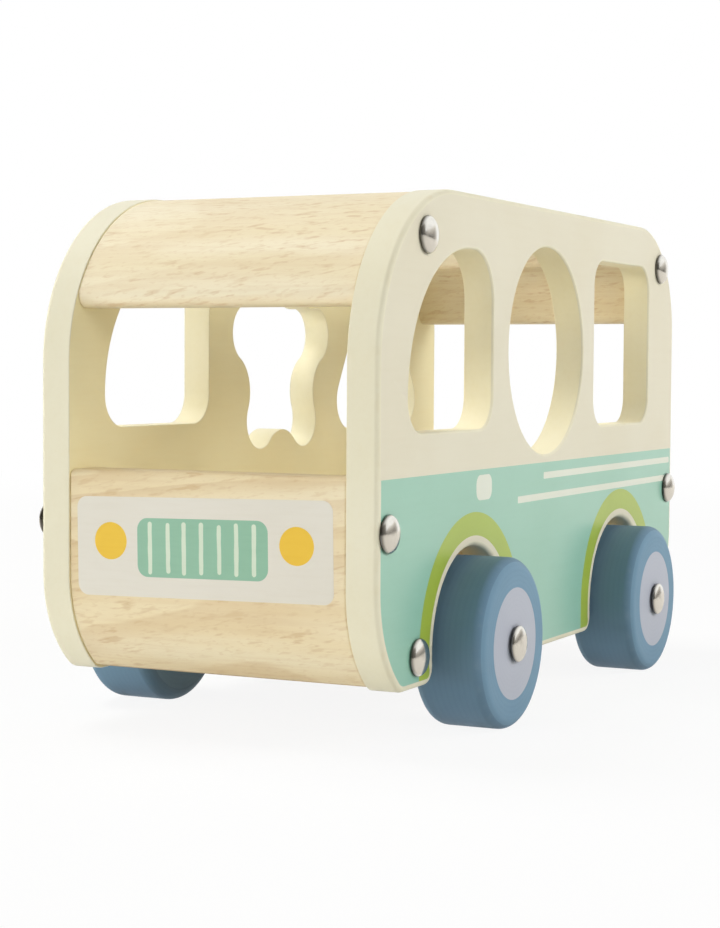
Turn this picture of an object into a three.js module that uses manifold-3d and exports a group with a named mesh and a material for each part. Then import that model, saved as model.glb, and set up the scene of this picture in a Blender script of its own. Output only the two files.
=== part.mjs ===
// A wooden shape sorter toy van that rolls on four wheels. Two painted side panels with shaped
// window holes are pinned to beech roof rails, beech fascias and a base board that carries the axles.
// Sizes are millimetres: X runs across the van, the nose looks towards -Y and Z rises from the ground.
import * as THREE from "three";
import { mergeVertices } from "three/addons/utils/BufferGeometryUtils.js";
import loadManifold from "manifold-3d";

// Side panels
const BODY_LENGTH = 214;
const BODY_WIDTH = 90;
const BODY_TOP = 130.5;
const PANEL_BOTTOM = 13.7;
const PANEL_THICKNESS = 8;
const EDGE_ROUND = 1.2;
const FRONT_TOP_RADIUS = 42;
const REAR_TOP_RADIUS = 31;
const LOWER_CURVE_RADIUS = 30;
const LOWER_CURVE_DEGREES = 50;
const LOWER_CORNER_RADIUS = 6;

// Door window, the same in both panels
const FRONT_PILLAR = 15.8;
const DOOR_PILLAR = 10.6;
const DOOR_SILL = 73;
const DOOR_TOP_MARGIN = 13.6;
const DOOR_RAKE_RADIUS = 37;
const DOOR_REAR_RADIUS = 12;
const DOOR_SILL_RADIUS = 8;

// Left panel: a round hole, then a square hole with soft corners
const CIRCLE_RADIUS = 27.5;
const CIRCLE_AHEAD_OF_MIDDLE = 2.8;
const CIRCLE_TOP_MARGIN = 10.4;
const SQUARE_FRONT_PILLAR = 9.2;
const SQUARE_REAR_PILLAR = 24.3;
const SQUARE_SILL = 71.8;
const SQUARE_TOP_MARGIN = 12;
const SQUARE_CORNER_RADIUS = 7.5;

// Right panel: a soft star hole, then a triangle hole with soft corners
const STAR_POINTS = 5;
const STAR_TIP_DISTANCE = 21.8;
const STAR_TIP_RADIUS = 7.8;
const STAR_NOTCH_DISTANCE = 20.3;
const STAR_BEHIND_MIDDLE = 0.6;
const STAR_TOP_MARGIN = 10.4;
const TRIANGLE_FRONT_PILLAR = 6.2;
const TRIANGLE_REAR_PILLAR = 15.6;
const TRIANGLE_SILL = 69.2;
const TRIANGLE_TOP_MARGIN = 9;
const TRIANGLE_CORNER_RADIUS = 8.8;

// Beech cross pieces between the panels
const CROSS_INSET = 0.3;
const ROOF_RAIL_THICKNESS = 11.5;
const ROOF_RAIL_DROP = 28.5;
const ROOF_RAIL_FLAT = 4;
const FASCIA_THICKNESS = 12;
const FRONT_FASCIA_TOP = 63.4;
const REAR_FASCIA_TOP = 61;
const BASE_THICKNESS = 13;

// Wheels, axles and axle caps
const FRONT_OVERHANG = 54.3;
const REAR_OVERHANG = 50.3;
const WHEEL_RADIUS = 21;
const WHEEL_WIDTH = 18.7;
const WHEEL_EDGE_ROUND = 3;
const ARCH_CLEARANCE = 2.4;
const ARCH_CORNER_RADIUS = 4;
const AXLE_RADIUS = 2.5;
const CAP_RADIUS = 4.5;
const CAP_RIM = 0.6;
const CAP_DOME = 1.4;
const CAP_BORE_DEPTH = 1.1;

// Dome-headed pins through the panels
const PIN_HEAD_RADIUS = 4.5;
const PIN_HEAD_RIM = 0.3;
const PIN_HEAD_DOME = 2;
const PIN_SHANK_RADIUS = 1.8;
const PIN_BITE = 20;
const PIN_POINT = 1.2;
const FRONT_ROOF_PIN_DEPTH = 7;
const FRONT_ROOF_PIN_DEGREES = 61;
const REAR_ROOF_PIN_DEPTH = 5.5;
const REAR_ROOF_PIN_DEGREES = 49;
const FASCIA_PIN_INSET = 5;
const FASCIA_PIN_HEIGHT = 50.8;
const FRONT_BASE_PIN_INSET = 9;
const REAR_BASE_PIN_INSET = 5.4;

// Clearances
const JOINT_GAP = 0.2;
const WHEEL_SIDE_GAP = 0.6;
const WHEEL_BORE_GAP = 0.25;
const AXLE_BORE_GAP = 0.1;
const CAP_GAP = 0.4;
const CAP_BORE_GAP = 0.1;
const PIN_HOLE_GAP = 0.15;
const PIN_SEAT_GAP = 0.1;

// Fineness of the round stretches
const ARC_STEP_DEGREES = 12;
const WHEEL_SIDES = 32;
const ROUND_SIDES = 16;
const PIN_SIDES = 12;
const DOME_STEPS = 4;

// Sizes that follow from the driving dimensions
const INNER_HALF_WIDTH = BODY_WIDTH / 2 - PANEL_THICKNESS;
const CROSS_WIDTH = 2 * (INNER_HALF_WIDTH - JOINT_GAP);
const MIDDLE = BODY_LENGTH / 2;
const AXLE_HEIGHT = WHEEL_RADIUS;
const FRONT_AXLE_Y = FRONT_OVERHANG;
const REAR_AXLE_Y = BODY_LENGTH - REAR_OVERHANG;
const WHEEL_INNER_X = INNER_HALF_WIDTH + WHEEL_SIDE_GAP;
const CAP_SEAT_X = WHEEL_INNER_X + WHEEL_WIDTH + CAP_GAP;
const BASE_FRONT_Y = CROSS_INSET + FASCIA_THICKNESS + JOINT_GAP;
const BASE_REAR_Y = BODY_LENGTH - BASE_FRONT_Y;
const PIN_HOLE_RADIUS = PIN_SHANK_RADIUS + PIN_HOLE_GAP;

const wasm = await loadManifold();
wasm.setup();

// Finishes
const finishes = {
  creamPaint: { color: "#e2dccd", roughness: 0.55, metalness: 0 },
  beech: { color: "#e8d6b2", roughness: 0.6, metalness: 0 },
  plywood: { color: "#dcc79d", roughness: 0.7, metalness: 0 },
  bluePaint: { color: "#7d9bb4", roughness: 0.5, metalness: 0 },
  steel: { color: "#b9bbbd", roughness: 0.3, metalness: 1 },
  nickel: { color: "#d3cfc6", roughness: 0.12, metalness: 1 },
};

function namedMesh(name, geometry, finish) {
  const mesh = new THREE.Mesh(geometry, new THREE.MeshStandardMaterial(finish));
  mesh.name = name;
  return mesh;
}

// Joining and cutting closed meshes
function toSolid(geometry) {
  const bare = geometry.clone();
  bare.deleteAttribute("normal");
  bare.deleteAttribute("uv");
  const merged = mergeVertices(bare);
  const vertProperties = new Float32Array(merged.attributes.position.array);
  const triVerts = new Uint32Array(merged.index.array);
  return new wasm.Manifold(new wasm.Mesh({ numProp: 3, vertProperties, triVerts }));
}

function toGeometry(solid) {
  const mesh = solid.getMesh();
  const indexed = new THREE.BufferGeometry();
  indexed.setAttribute("position", new THREE.BufferAttribute(mesh.vertProperties, 3));
  indexed.setIndex(new THREE.BufferAttribute(mesh.triVerts, 1));
  const geometry = indexed.toNonIndexed();
  geometry.computeVertexNormals();
  return geometry;
}

function drilled(geometry, drills) {
  const cut = (solid, drill) => solid.subtract(toSolid(drill));
  return toGeometry(drills.reduce(cut, toSolid(geometry)));
}

// Outlines are lists of points in the side view, y from the nose and z from the ground
function arc(centre, radius, fromDegrees, toDegrees) {
  const turn = toDegrees - fromDegrees;
  const steps = Math.ceil(Math.abs(turn) / ARC_STEP_DEGREES);
  return Array.from({ length: steps + 1 }, (_, step) => {
    const angle = THREE.MathUtils.degToRad(fromDegrees + (turn * step) / steps);
    return new THREE.Vector2(centre.x + radius * Math.cos(angle), centre.y + radius * Math.sin(angle));
  });
}

function polar(centre, distance, degrees) {
  const angle = THREE.MathUtils.degToRad(degrees);
  return new THREE.Vector2(centre.x + distance * Math.cos(angle), centre.y + distance * Math.sin(angle));
}

function mirroredEndToEnd(points) {
  return points.map((point) => new THREE.Vector2(BODY_LENGTH - point.x, point.y)).reverse();
}

// The long curve under the nose, which tightens into the bottom edge
function lowerCurve(inset) {
  const tight = LOWER_CURVE_RADIUS - LOWER_CORNER_RADIUS;
  const turn = THREE.MathUtils.degToRad(LOWER_CURVE_DEGREES);
  const startHeight = PANEL_BOTTOM + LOWER_CORNER_RADIUS + tight * Math.sin(turn);
  const longCentre = new THREE.Vector2(LOWER_CURVE_RADIUS, startHeight);
  const joint = 180 + LOWER_CURVE_DEGREES;
  const tightCentre = polar(longCentre, tight, joint);
  return [
    ...arc(longCentre, LOWER_CURVE_RADIUS - inset, 180, joint),
    ...arc(tightCentre, LOWER_CORNER_RADIUS - inset, joint, 270).slice(1),
  ];
}

function wheelArch(axleY) {
  const radius = WHEEL_RADIUS + ARCH_CLEARANCE;
  const corner = Math.min(ARCH_CORNER_RADIUS, AXLE_HEIGHT - PANEL_BOTTOM);
  const cornerHeight = PANEL_BOTTOM + corner;
  const reach = radius + corner;
  return [
    ...arc(new THREE.Vector2(axleY - reach, cornerHeight), corner, 270, 360),
    ...arc(new THREE.Vector2(axleY, AXLE_HEIGHT), radius, 180, 0),
    ...arc(new THREE.Vector2(axleY + reach, cornerHeight), corner, 180, 270),
  ];
}

function bodyOutline(inset, archPoints) {
  const top = BODY_TOP - FRONT_TOP_RADIUS;
  const rearTop = BODY_TOP - REAR_TOP_RADIUS;
  const frontCentre = new THREE.Vector2(FRONT_TOP_RADIUS, top);
  const rearCentre = new THREE.Vector2(BODY_LENGTH - REAR_TOP_RADIUS, rearTop);
  return [
    ...lowerCurve(inset),
    ...archPoints,
    ...mirroredEndToEnd(lowerCurve(inset)),
    ...arc(rearCentre, REAR_TOP_RADIUS - inset, 0, 90),
    ...arc(frontCentre, FRONT_TOP_RADIUS - inset, 90, 180),
  ];
}

// A closed run of soft corners, each given as its arc's centre, radius and first angle
function cornerRun(corners, turn) {
  return corners.flatMap(({ centre, radius, from }) => arc(centre, radius, from, from + turn));
}

function doorWindow() {
  const rear = MIDDLE - CIRCLE_AHEAD_OF_MIDDLE - CIRCLE_RADIUS - DOOR_PILLAR;
  const top = BODY_TOP - DOOR_TOP_MARGIN;
  const rakeRoom = Math.min(top - DOOR_SILL - DOOR_SILL_RADIUS, rear - FRONT_PILLAR - DOOR_REAR_RADIUS);
  const rake = Math.min(DOOR_RAKE_RADIUS, rakeRoom);
  const corner = (y, z, radius, from) => ({ centre: new THREE.Vector2(y, z), radius, from });
  const low = DOOR_SILL + DOOR_SILL_RADIUS;
  const rearRadius = Math.min(DOOR_REAR_RADIUS, top - low);
  return cornerRun([
    corner(FRONT_PILLAR + DOOR_SILL_RADIUS, low, DOOR_SILL_RADIUS, 180),
    corner(rear - DOOR_SILL_RADIUS, low, DOOR_SILL_RADIUS, 270),
    corner(rear - rearRadius, top - rearRadius, rearRadius, 0),
    corner(FRONT_PILLAR + rake, top - rake, rake, 90),
  ], 90);
}

function circleWindow() {
  const height = BODY_TOP - CIRCLE_TOP_MARGIN - CIRCLE_RADIUS;
  const centre = new THREE.Vector2(MIDDLE - CIRCLE_AHEAD_OF_MIDDLE, height);
  return arc(centre, CIRCLE_RADIUS, 0, 360).slice(1);
}

function squareWindow() {
  const circleRear = MIDDLE - CIRCLE_AHEAD_OF_MIDDLE + CIRCLE_RADIUS;
  const front = circleRear + SQUARE_FRONT_PILLAR + SQUARE_CORNER_RADIUS;
  const rear = BODY_LENGTH - SQUARE_REAR_PILLAR - SQUARE_CORNER_RADIUS;
  const low = SQUARE_SILL + SQUARE_CORNER_RADIUS;
  const high = BODY_TOP - SQUARE_TOP_MARGIN - SQUARE_CORNER_RADIUS;
  const places = [[front, low, 180], [rear, low, 270], [rear, high, 0], [front, high, 90]];
  return cornerRun(places.map(([y, z, from]) => (
    { centre: new THREE.Vector2(y, z), radius: SQUARE_CORNER_RADIUS, from }
  )), 90);
}

// Round tips joined by hollow notches, each notch touching the two tips beside it
function starWindow() {
  const reach = STAR_TIP_DISTANCE + STAR_TIP_RADIUS;
  const centre = new THREE.Vector2(MIDDLE + STAR_BEHIND_MIDDLE, BODY_TOP - STAR_TOP_MARGIN - reach);
  const halfStep = 180 / STAR_POINTS;
  const across = STAR_TIP_DISTANCE * Math.cos(THREE.MathUtils.degToRad(halfStep));
  const inner = STAR_NOTCH_DISTANCE - STAR_TIP_RADIUS;
  const notchDistance = (STAR_TIP_DISTANCE ** 2 - inner ** 2) / (2 * (across - inner));
  const notchRadius = notchDistance - STAR_NOTCH_DISTANCE;
  const notchFromTip = polar(new THREE.Vector2(-STAR_TIP_DISTANCE, 0), notchDistance, halfStep);
  const halfTip = THREE.MathUtils.radToDeg(notchFromTip.angle());
  const halfNotch = halfTip - halfStep;
  return Array.from({ length: STAR_POINTS }, (_, index) => {
    const heading = 90 + 2 * halfStep * index;
    const tip = polar(centre, STAR_TIP_DISTANCE, heading);
    const notch = polar(centre, notchDistance, heading + halfStep);
    const inward = heading + halfStep + 180;
    return [
      ...arc(tip, STAR_TIP_RADIUS, heading - halfTip, heading + halfTip),
      ...arc(notch, notchRadius, inward + halfNotch, inward - halfNotch).slice(1, -1),
    ];
  }).flat();
}

function triangleWindow() {
  const tipAngle = THREE.MathUtils.degToRad(180 / STAR_POINTS / 2);
  const starReach = STAR_TIP_DISTANCE * Math.cos(tipAngle) + STAR_TIP_RADIUS;
  const starRear = MIDDLE + STAR_BEHIND_MIDDLE + starReach;
  const front = starRear + TRIANGLE_FRONT_PILLAR + TRIANGLE_CORNER_RADIUS;
  const rear = BODY_LENGTH - TRIANGLE_REAR_PILLAR - TRIANGLE_CORNER_RADIUS;
  const low = TRIANGLE_SILL + TRIANGLE_CORNER_RADIUS;
  const high = BODY_TOP - TRIANGLE_TOP_MARGIN - TRIANGLE_CORNER_RADIUS;
  const slope = THREE.MathUtils.radToDeg(Math.atan2(high - low, (rear - front) / 2));
  return [
    ...arc(new THREE.Vector2(front, low), TRIANGLE_CORNER_RADIUS, 90 + slope, 270),
    ...arc(new THREE.Vector2(rear, low), TRIANGLE_CORNER_RADIUS, 270, 450 - slope),
    ...arc(new THREE.Vector2((front + rear) / 2, high), TRIANGLE_CORNER_RADIUS, 90 - slope, 90 + slope),
  ];
}

// Solids drawn in the side view and extruded across the van, centred on X = 0
const SIDE_VIEW = new THREE.Matrix4().makeBasis(
  new THREE.Vector3(0, 1, 0),
  new THREE.Vector3(0, 0, 1),
  new THREE.Vector3(1, 0, 0),
);

function plate(outline, holes, width, edgeRound) {
  const shape = new THREE.Shape(outline);
  shape.holes = holes.map((hole) => new THREE.Path(hole));
  const depth = width - 2 * edgeRound;
  const geometry = new THREE.ExtrudeGeometry(shape, {
    depth,
    bevelEnabled: edgeRound > 0,
    bevelThickness: edgeRound,
    bevelSize: edgeRound,
    bevelOffset: -edgeRound,
    bevelSegments: 1,
  });
  return geometry.translate(0, 0, -depth / 2).applyMatrix4(SIDE_VIEW);
}

function rodAcross(radius, length, sides, y, z) {
  return new THREE.CylinderGeometry(radius, radius, length, sides).rotateZ(Math.PI / 2).translate(0, y, z);
}

function turnedAcross(profile, sides) {
  return new THREE.LatheGeometry(profile, sides).rotateZ(-Math.PI / 2);
}

// Where the pins go, in the side view
function roofPinSite(topRadius, degrees, depth) {
  const centre = new THREE.Vector2(topRadius, BODY_TOP - topRadius);
  return polar(centre, topRadius - CROSS_INSET - depth, 180 - degrees);
}

function fromRear(site) {
  return new THREE.Vector2(BODY_LENGTH - site.x, site.y);
}

const fasciaSite = new THREE.Vector2(FASCIA_PIN_INSET, FASCIA_PIN_HEIGHT);
const pinSites = {
  front_roof: roofPinSite(FRONT_TOP_RADIUS, FRONT_ROOF_PIN_DEGREES, FRONT_ROOF_PIN_DEPTH),
  rear_roof: fromRear(roofPinSite(REAR_TOP_RADIUS, REAR_ROOF_PIN_DEGREES, REAR_ROOF_PIN_DEPTH)),
  front_fascia: fasciaSite,
  rear_fascia: fromRear(fasciaSite),
  front_base: new THREE.Vector2(BASE_FRONT_Y + FRONT_BASE_PIN_INSET, AXLE_HEIGHT),
  rear_base: new THREE.Vector2(BASE_REAR_Y - REAR_BASE_PIN_INSET, AXLE_HEIGHT),
};

// A blind hole in each end of a cross piece, a little deeper than the pin reaches
function endHoles(sites) {
  const depth = PIN_BITE + JOINT_GAP;
  return sites.flatMap((site) => [-1, 1].map((side) => (
    rodAcross(PIN_HOLE_RADIUS, 2 * depth, PIN_SIDES, site.x, site.y)
      .translate((side * CROSS_WIDTH) / 2, 0, 0)
  )));
}

function sidePanel(windows) {
  const arches = [...wheelArch(FRONT_AXLE_Y), ...wheelArch(REAR_AXLE_Y)];
  const blank = plate(bodyOutline(0, arches), windows, PANEL_THICKNESS, EDGE_ROUND);
  const pinHoles = Object.values(pinSites).map((site) => (
    rodAcross(PIN_HOLE_RADIUS, 2 * PANEL_THICKNESS, PIN_SIDES, site.x, site.y)
  ));
  return drilled(blank, pinHoles);
}

// A curved rail that follows the panels' top corner
function roofRailOutline(topRadius) {
  const centre = new THREE.Vector2(topRadius, BODY_TOP - topRadius);
  const outer = topRadius - CROSS_INSET;
  const inner = outer - ROOF_RAIL_THICKNESS;
  const rise = BODY_TOP - ROOF_RAIL_DROP - centre.y;
  const startAngle = (radius) => 180 - THREE.MathUtils.radToDeg(Math.asin(rise / radius));
  const flatEnd = centre.x + ROOF_RAIL_FLAT;
  return [
    ...arc(centre, inner, startAngle(inner), 90),
    new THREE.Vector2(flatEnd, centre.y + inner),
    new THREE.Vector2(flatEnd, centre.y + outer),
    ...arc(centre, outer, 90, startAngle(outer)),
  ];
}

function roofRail(outline, site) {
  return drilled(plate(outline, [], CROSS_WIDTH, 0), endHoles([site]));
}

// An upright board whose lower front edge follows the curve of the panels
function fascia(site, middleY, top) {
  const body = plate(bodyOutline(CROSS_INSET, []), [], CROSS_WIDTH, 0);
  const height = top - PANEL_BOTTOM;
  const board = new THREE.BoxGeometry(CROSS_WIDTH, FASCIA_THICKNESS, height);
  board.translate(0, middleY, PANEL_BOTTOM + height / 2);
  return drilled(toGeometry(toSolid(body).intersect(toSolid(board))), endHoles([site]));
}

function baseBoard() {
  const length = BASE_REAR_Y - BASE_FRONT_Y;
  const board = new THREE.BoxGeometry(CROSS_WIDTH, length, BASE_THICKNESS);
  board.translate(0, BASE_FRONT_Y + length / 2, AXLE_HEIGHT);
  const axleBores = [FRONT_AXLE_Y, REAR_AXLE_Y].map((y) => (
    rodAcross(AXLE_RADIUS + AXLE_BORE_GAP, 2 * CROSS_WIDTH, ROUND_SIDES, y, AXLE_HEIGHT)
  ));
  return drilled(board, [...axleBores, ...endHoles([pinSites.front_base, pinSites.rear_base])]);
}

// A full oval dome on a short rim, from the rim's foot to the top on the axis
function domeProfile(radius, rim, dome) {
  const rise = Array.from({ length: DOME_STEPS }, (_, step) => {
    const turn = (Math.PI / 2) * (step / DOME_STEPS);
    return new THREE.Vector2(radius * Math.cos(turn), rim + dome * Math.sin(turn));
  });
  return [new THREE.Vector2(radius, 0), ...rise, new THREE.Vector2(0, rim + dome)];
}

function domePin() {
  const reach = PANEL_THICKNESS + JOINT_GAP + PIN_BITE;
  return turnedAcross([
    new THREE.Vector2(0, -reach),
    new THREE.Vector2(PIN_SHANK_RADIUS, PIN_POINT - reach),
    new THREE.Vector2(PIN_SHANK_RADIUS, 0),
    ...domeProfile(PIN_HEAD_RADIUS, PIN_HEAD_RIM, PIN_HEAD_DOME),
  ], PIN_SIDES);
}

function wheel() {
  const bore = AXLE_RADIUS + WHEEL_BORE_GAP;
  const shoulder = WHEEL_RADIUS - WHEEL_EDGE_ROUND;
  const lowEdge = new THREE.Vector2(shoulder, WHEEL_EDGE_ROUND);
  const highEdge = new THREE.Vector2(shoulder, WHEEL_WIDTH - WHEEL_EDGE_ROUND);
  const roundSteps = [0, 1, 2].map((step) => step * 45);
  return turnedAcross([
    new THREE.Vector2(bore, 0),
    ...roundSteps.map((turn) => polar(lowEdge, WHEEL_EDGE_ROUND, turn - 90)),
    ...roundSteps.map((turn) => polar(highEdge, WHEEL_EDGE_ROUND, turn)),
    new THREE.Vector2(bore, WHEEL_WIDTH),
    new THREE.Vector2(bore, 0),
  ], WHEEL_SIDES);
}

function axleCap() {
  const bore = AXLE_RADIUS + CAP_BORE_GAP;
  return turnedAcross([
    new THREE.Vector2(0, CAP_BORE_DEPTH),
    new THREE.Vector2(bore, CAP_BORE_DEPTH),
    new THREE.Vector2(bore, 0),
    ...domeProfile(CAP_RADIUS, CAP_RIM, CAP_DOME),
  ], ROUND_SIDES);
}

function axle() {
  const halfLength = CAP_SEAT_X + CAP_BORE_DEPTH - JOINT_GAP;
  return rodAcross(AXLE_RADIUS, 2 * halfLength, ROUND_SIDES, 0, 0);
}

// The two ends of a cross direction: the left side of the van is +X
const sides = [
  { name: "left", sign: 1, turn: 0 },
  { name: "right", sign: -1, turn: Math.PI },
];

function buildBody() {
  const body = new THREE.Group();
  const panelX = (BODY_WIDTH - PANEL_THICKNESS) / 2;
  const leftPanel = sidePanel([doorWindow(), circleWindow(), squareWindow()]);
  const rightPanel = sidePanel([doorWindow(), starWindow(), triangleWindow()]);
  const left = namedMesh("left_side_panel", leftPanel, finishes.creamPaint);
  const right = namedMesh("right_side_panel", rightPanel, finishes.creamPaint);
  left.position.x = panelX;
  right.position.x = -panelX;

  const frontRail = roofRail(roofRailOutline(FRONT_TOP_RADIUS), pinSites.front_roof);
  const rearRail = roofRail(mirroredEndToEnd(roofRailOutline(REAR_TOP_RADIUS)), pinSites.rear_roof);
  const fasciaMiddle = CROSS_INSET + FASCIA_THICKNESS / 2;
  const frontFascia = fascia(pinSites.front_fascia, fasciaMiddle, FRONT_FASCIA_TOP);
  const rearFascia = fascia(pinSites.rear_fascia, BODY_LENGTH - fasciaMiddle, REAR_FASCIA_TOP);
  body.add(
    left,
    right,
    namedMesh("front_roof_rail", frontRail, finishes.beech),
    namedMesh("rear_roof_rail", rearRail, finishes.beech),
    namedMesh("front_fascia", frontFascia, finishes.beech),
    namedMesh("rear_fascia", rearFascia, finishes.beech),
    namedMesh("base_board", baseBoard(), finishes.plywood),
  );

  sides.forEach(({ name, sign, turn }) => {
    Object.entries(pinSites).forEach(([place, site]) => {
      const pin = namedMesh(`${name}_${place}_pin`, domePin(), finishes.nickel);
      pin.position.set(sign * (BODY_WIDTH / 2 + PIN_SEAT_GAP), site.x, site.y);
      pin.rotation.z = turn;
      body.add(pin);
    });
  });
  return body;
}

function buildAxleSet(end, axleY) {
  const set = new THREE.Group();
  set.position.set(0, axleY, AXLE_HEIGHT);
  set.add(namedMesh(`${end}_axle`, axle(), finishes.steel));
  sides.forEach(({ name, sign, turn }) => {
    const roller = namedMesh(`${end}_${name}_wheel`, wheel(), finishes.bluePaint);
    const cap = namedMesh(`${end}_${name}_axle_cap`, axleCap(), finishes.nickel);
    roller.position.x = sign * WHEEL_INNER_X;
    cap.position.x = sign * CAP_SEAT_X;
    roller.rotation.z = turn;
    cap.rotation.z = turn;
    set.add(roller, cap);
  });
  return set;
}

const van = new THREE.Group();
van.position.y = -MIDDLE;
van.add(buildBody(), buildAxleSet("front", FRONT_AXLE_Y), buildAxleSet("rear", REAR_AXLE_Y));

export default van;
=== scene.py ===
"""Looks of a wooden shape sorter van: printed panels, beech cross pieces, turned wheels and bright pins."""

import logging
import math
import random
from dataclasses import dataclass
from enum import Enum
from functools import cache, cached_property
from typing import Any, Callable, ClassVar, Mapping, NamedTuple, Optional, Sequence, Union

import bpy
from mathutils import Matrix, Vector
from mathutils.geometry import delaunay_2d_cdt


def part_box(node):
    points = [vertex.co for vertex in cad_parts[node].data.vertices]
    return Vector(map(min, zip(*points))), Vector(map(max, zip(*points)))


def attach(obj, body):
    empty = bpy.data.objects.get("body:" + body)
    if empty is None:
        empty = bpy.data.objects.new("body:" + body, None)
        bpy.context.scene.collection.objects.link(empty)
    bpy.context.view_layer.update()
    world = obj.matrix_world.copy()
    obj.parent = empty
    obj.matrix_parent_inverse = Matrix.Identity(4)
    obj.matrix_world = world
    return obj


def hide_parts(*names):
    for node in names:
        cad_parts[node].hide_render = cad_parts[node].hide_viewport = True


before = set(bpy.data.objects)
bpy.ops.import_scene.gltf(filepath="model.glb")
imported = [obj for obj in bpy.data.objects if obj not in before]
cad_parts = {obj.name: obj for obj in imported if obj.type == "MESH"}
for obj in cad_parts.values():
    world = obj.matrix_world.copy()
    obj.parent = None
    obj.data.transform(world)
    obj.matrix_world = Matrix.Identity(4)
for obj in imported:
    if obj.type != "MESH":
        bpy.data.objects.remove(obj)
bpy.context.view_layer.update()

log = logging.getLogger("van")

Colour = tuple[float, float, float, float]
Corner = tuple[float, float, float, float]
Triple = tuple[float, float, float]
Spot = tuple[float, float]
Number = Union["Field", float]
CoatAt = Callable[[float, float], Optional[int]]
Lift = Callable[[float, float], tuple[Triple, Triple]]

MM = 0.001
FLAT_TO_ARC = 0.012 * MM
DOME_STEPS = 10
TURNED_SIDES = 96
SMALL_SIDES = 48
TURNED_WEAR = 0.8
FLAT_EDGE_WEAR = 0.25
ON_AXIS = 1e-6
SAME_PLACE = 1e-4
EVEN: Triple = (1.0, 1.0, 1.0)
WHITE_LIGHT: Colour = (1.0, 1.0, 1.0, 1.0)
UP: Triple = (0.0, 0.0, 1.0)
VAN_MIDDLE: Triple = (0.0, 0.0, 0.06)
GRAIN_DEPTH = 0.06 * MM
GRAIN_SHOWS = 0.35
SCRATCH_DEPTH = 0.01 * MM


class Named(Enum):
    """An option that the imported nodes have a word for."""

    @property
    def label(self) -> str:
        """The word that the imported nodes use."""
        return self.name.lower()


class Side(Named):
    """A side of the van, with the sign of its X direction."""

    LEFT = 1
    RIGHT = -1


class End(Named):
    """An end of the van, with the sign of its Y direction."""

    FRONT = -1
    REAR = 1


class PanelCoat(Enum):
    """Paints on a side panel, in the order of its material slots."""

    # EDGE, REVEAL and the right panel's INSIDE coats are lit copies of the cream: painted light.
    EDGE = 0
    CREAM = 1
    MINT = 2
    LIME = 3
    WHITE = 4
    INSIDE = 5
    REVEAL = 6


class PrintCoat(Enum):
    """Paints of the print on the front fascia, in the order of its material slots."""

    WHITE = 0
    GRILLE = 1
    BAR = 2
    LAMP = 3


class WheelCoat(Enum):
    """Paints on a wheel, in the order of its material slots."""

    BLUE = 0
    DISC = 1
    # The tread's coat is a darker copy of the blue: painted shade.
    TREAD = 2


def linear(code: str) -> Colour:
    """Turn a colour code into linear light.

    Args:
        code: Red, green and blue as two hexadecimal digits each.

    Returns:
        Red, green, blue and full opacity.
    """
    levels = [int(code[start:start + 2], 16) / 255 for start in (0, 2, 4)]
    red, green, blue = (c / 12.92 if c <= 0.04045 else ((c + 0.055) / 1.055) ** 2.4 for c in levels)
    return red, green, blue, 1.0


class Field:
    """One output socket of a node, with arithmetic that adds Math nodes."""

    def __init__(self, graph: "Graph", socket: Optional[bpy.types.NodeSocket]) -> None:
        """Keep the socket and the graph that it belongs to."""
        self.graph = graph
        self.socket = socket

    def __add__(self, other: Number) -> "Field":
        """This plus other."""
        return self.graph.math("ADD", self, other)

    def __radd__(self, other: Number) -> "Field":
        """Other plus this."""
        return self.graph.math("ADD", other, self)

    def __sub__(self, other: Number) -> "Field":
        """This less other."""
        return self.graph.math("SUBTRACT", self, other)

    def __rsub__(self, other: Number) -> "Field":
        """Other less this."""
        return self.graph.math("SUBTRACT", other, self)

    def __mul__(self, other: Number) -> "Field":
        """This times other."""
        return self.graph.math("MULTIPLY", self, other)

    def __rmul__(self, other: Number) -> "Field":
        """Other times this."""
        return self.graph.math("MULTIPLY", other, self)

    def __truediv__(self, other: Number) -> "Field":
        """This over other."""
        return self.graph.math("DIVIDE", self, other)

    def sine(self) -> "Field":
        """The sine of this, in radians."""
        return self.graph.math("SINE", self)

    def rising(self, low: float, high: float) -> "Field":
        """A smooth step from 0 below low to 1 above high.

        Args:
            low: Where the step begins.
            high: Where the step ends.

        Returns:
            The step as a field from 0 to 1.
        """
        settings = {"interpolation_type": "SMOOTHSTEP"}
        return self.graph.node("ShaderNodeMapRange", settings, {0: self, 1: low, 2: high})


class Texture(NamedTuple):
    """A soft noise: its cells per metre, its octaves and its stretch along each axis."""

    scale: float
    detail: float = 2.0
    stretch: Triple = EVEN


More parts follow.
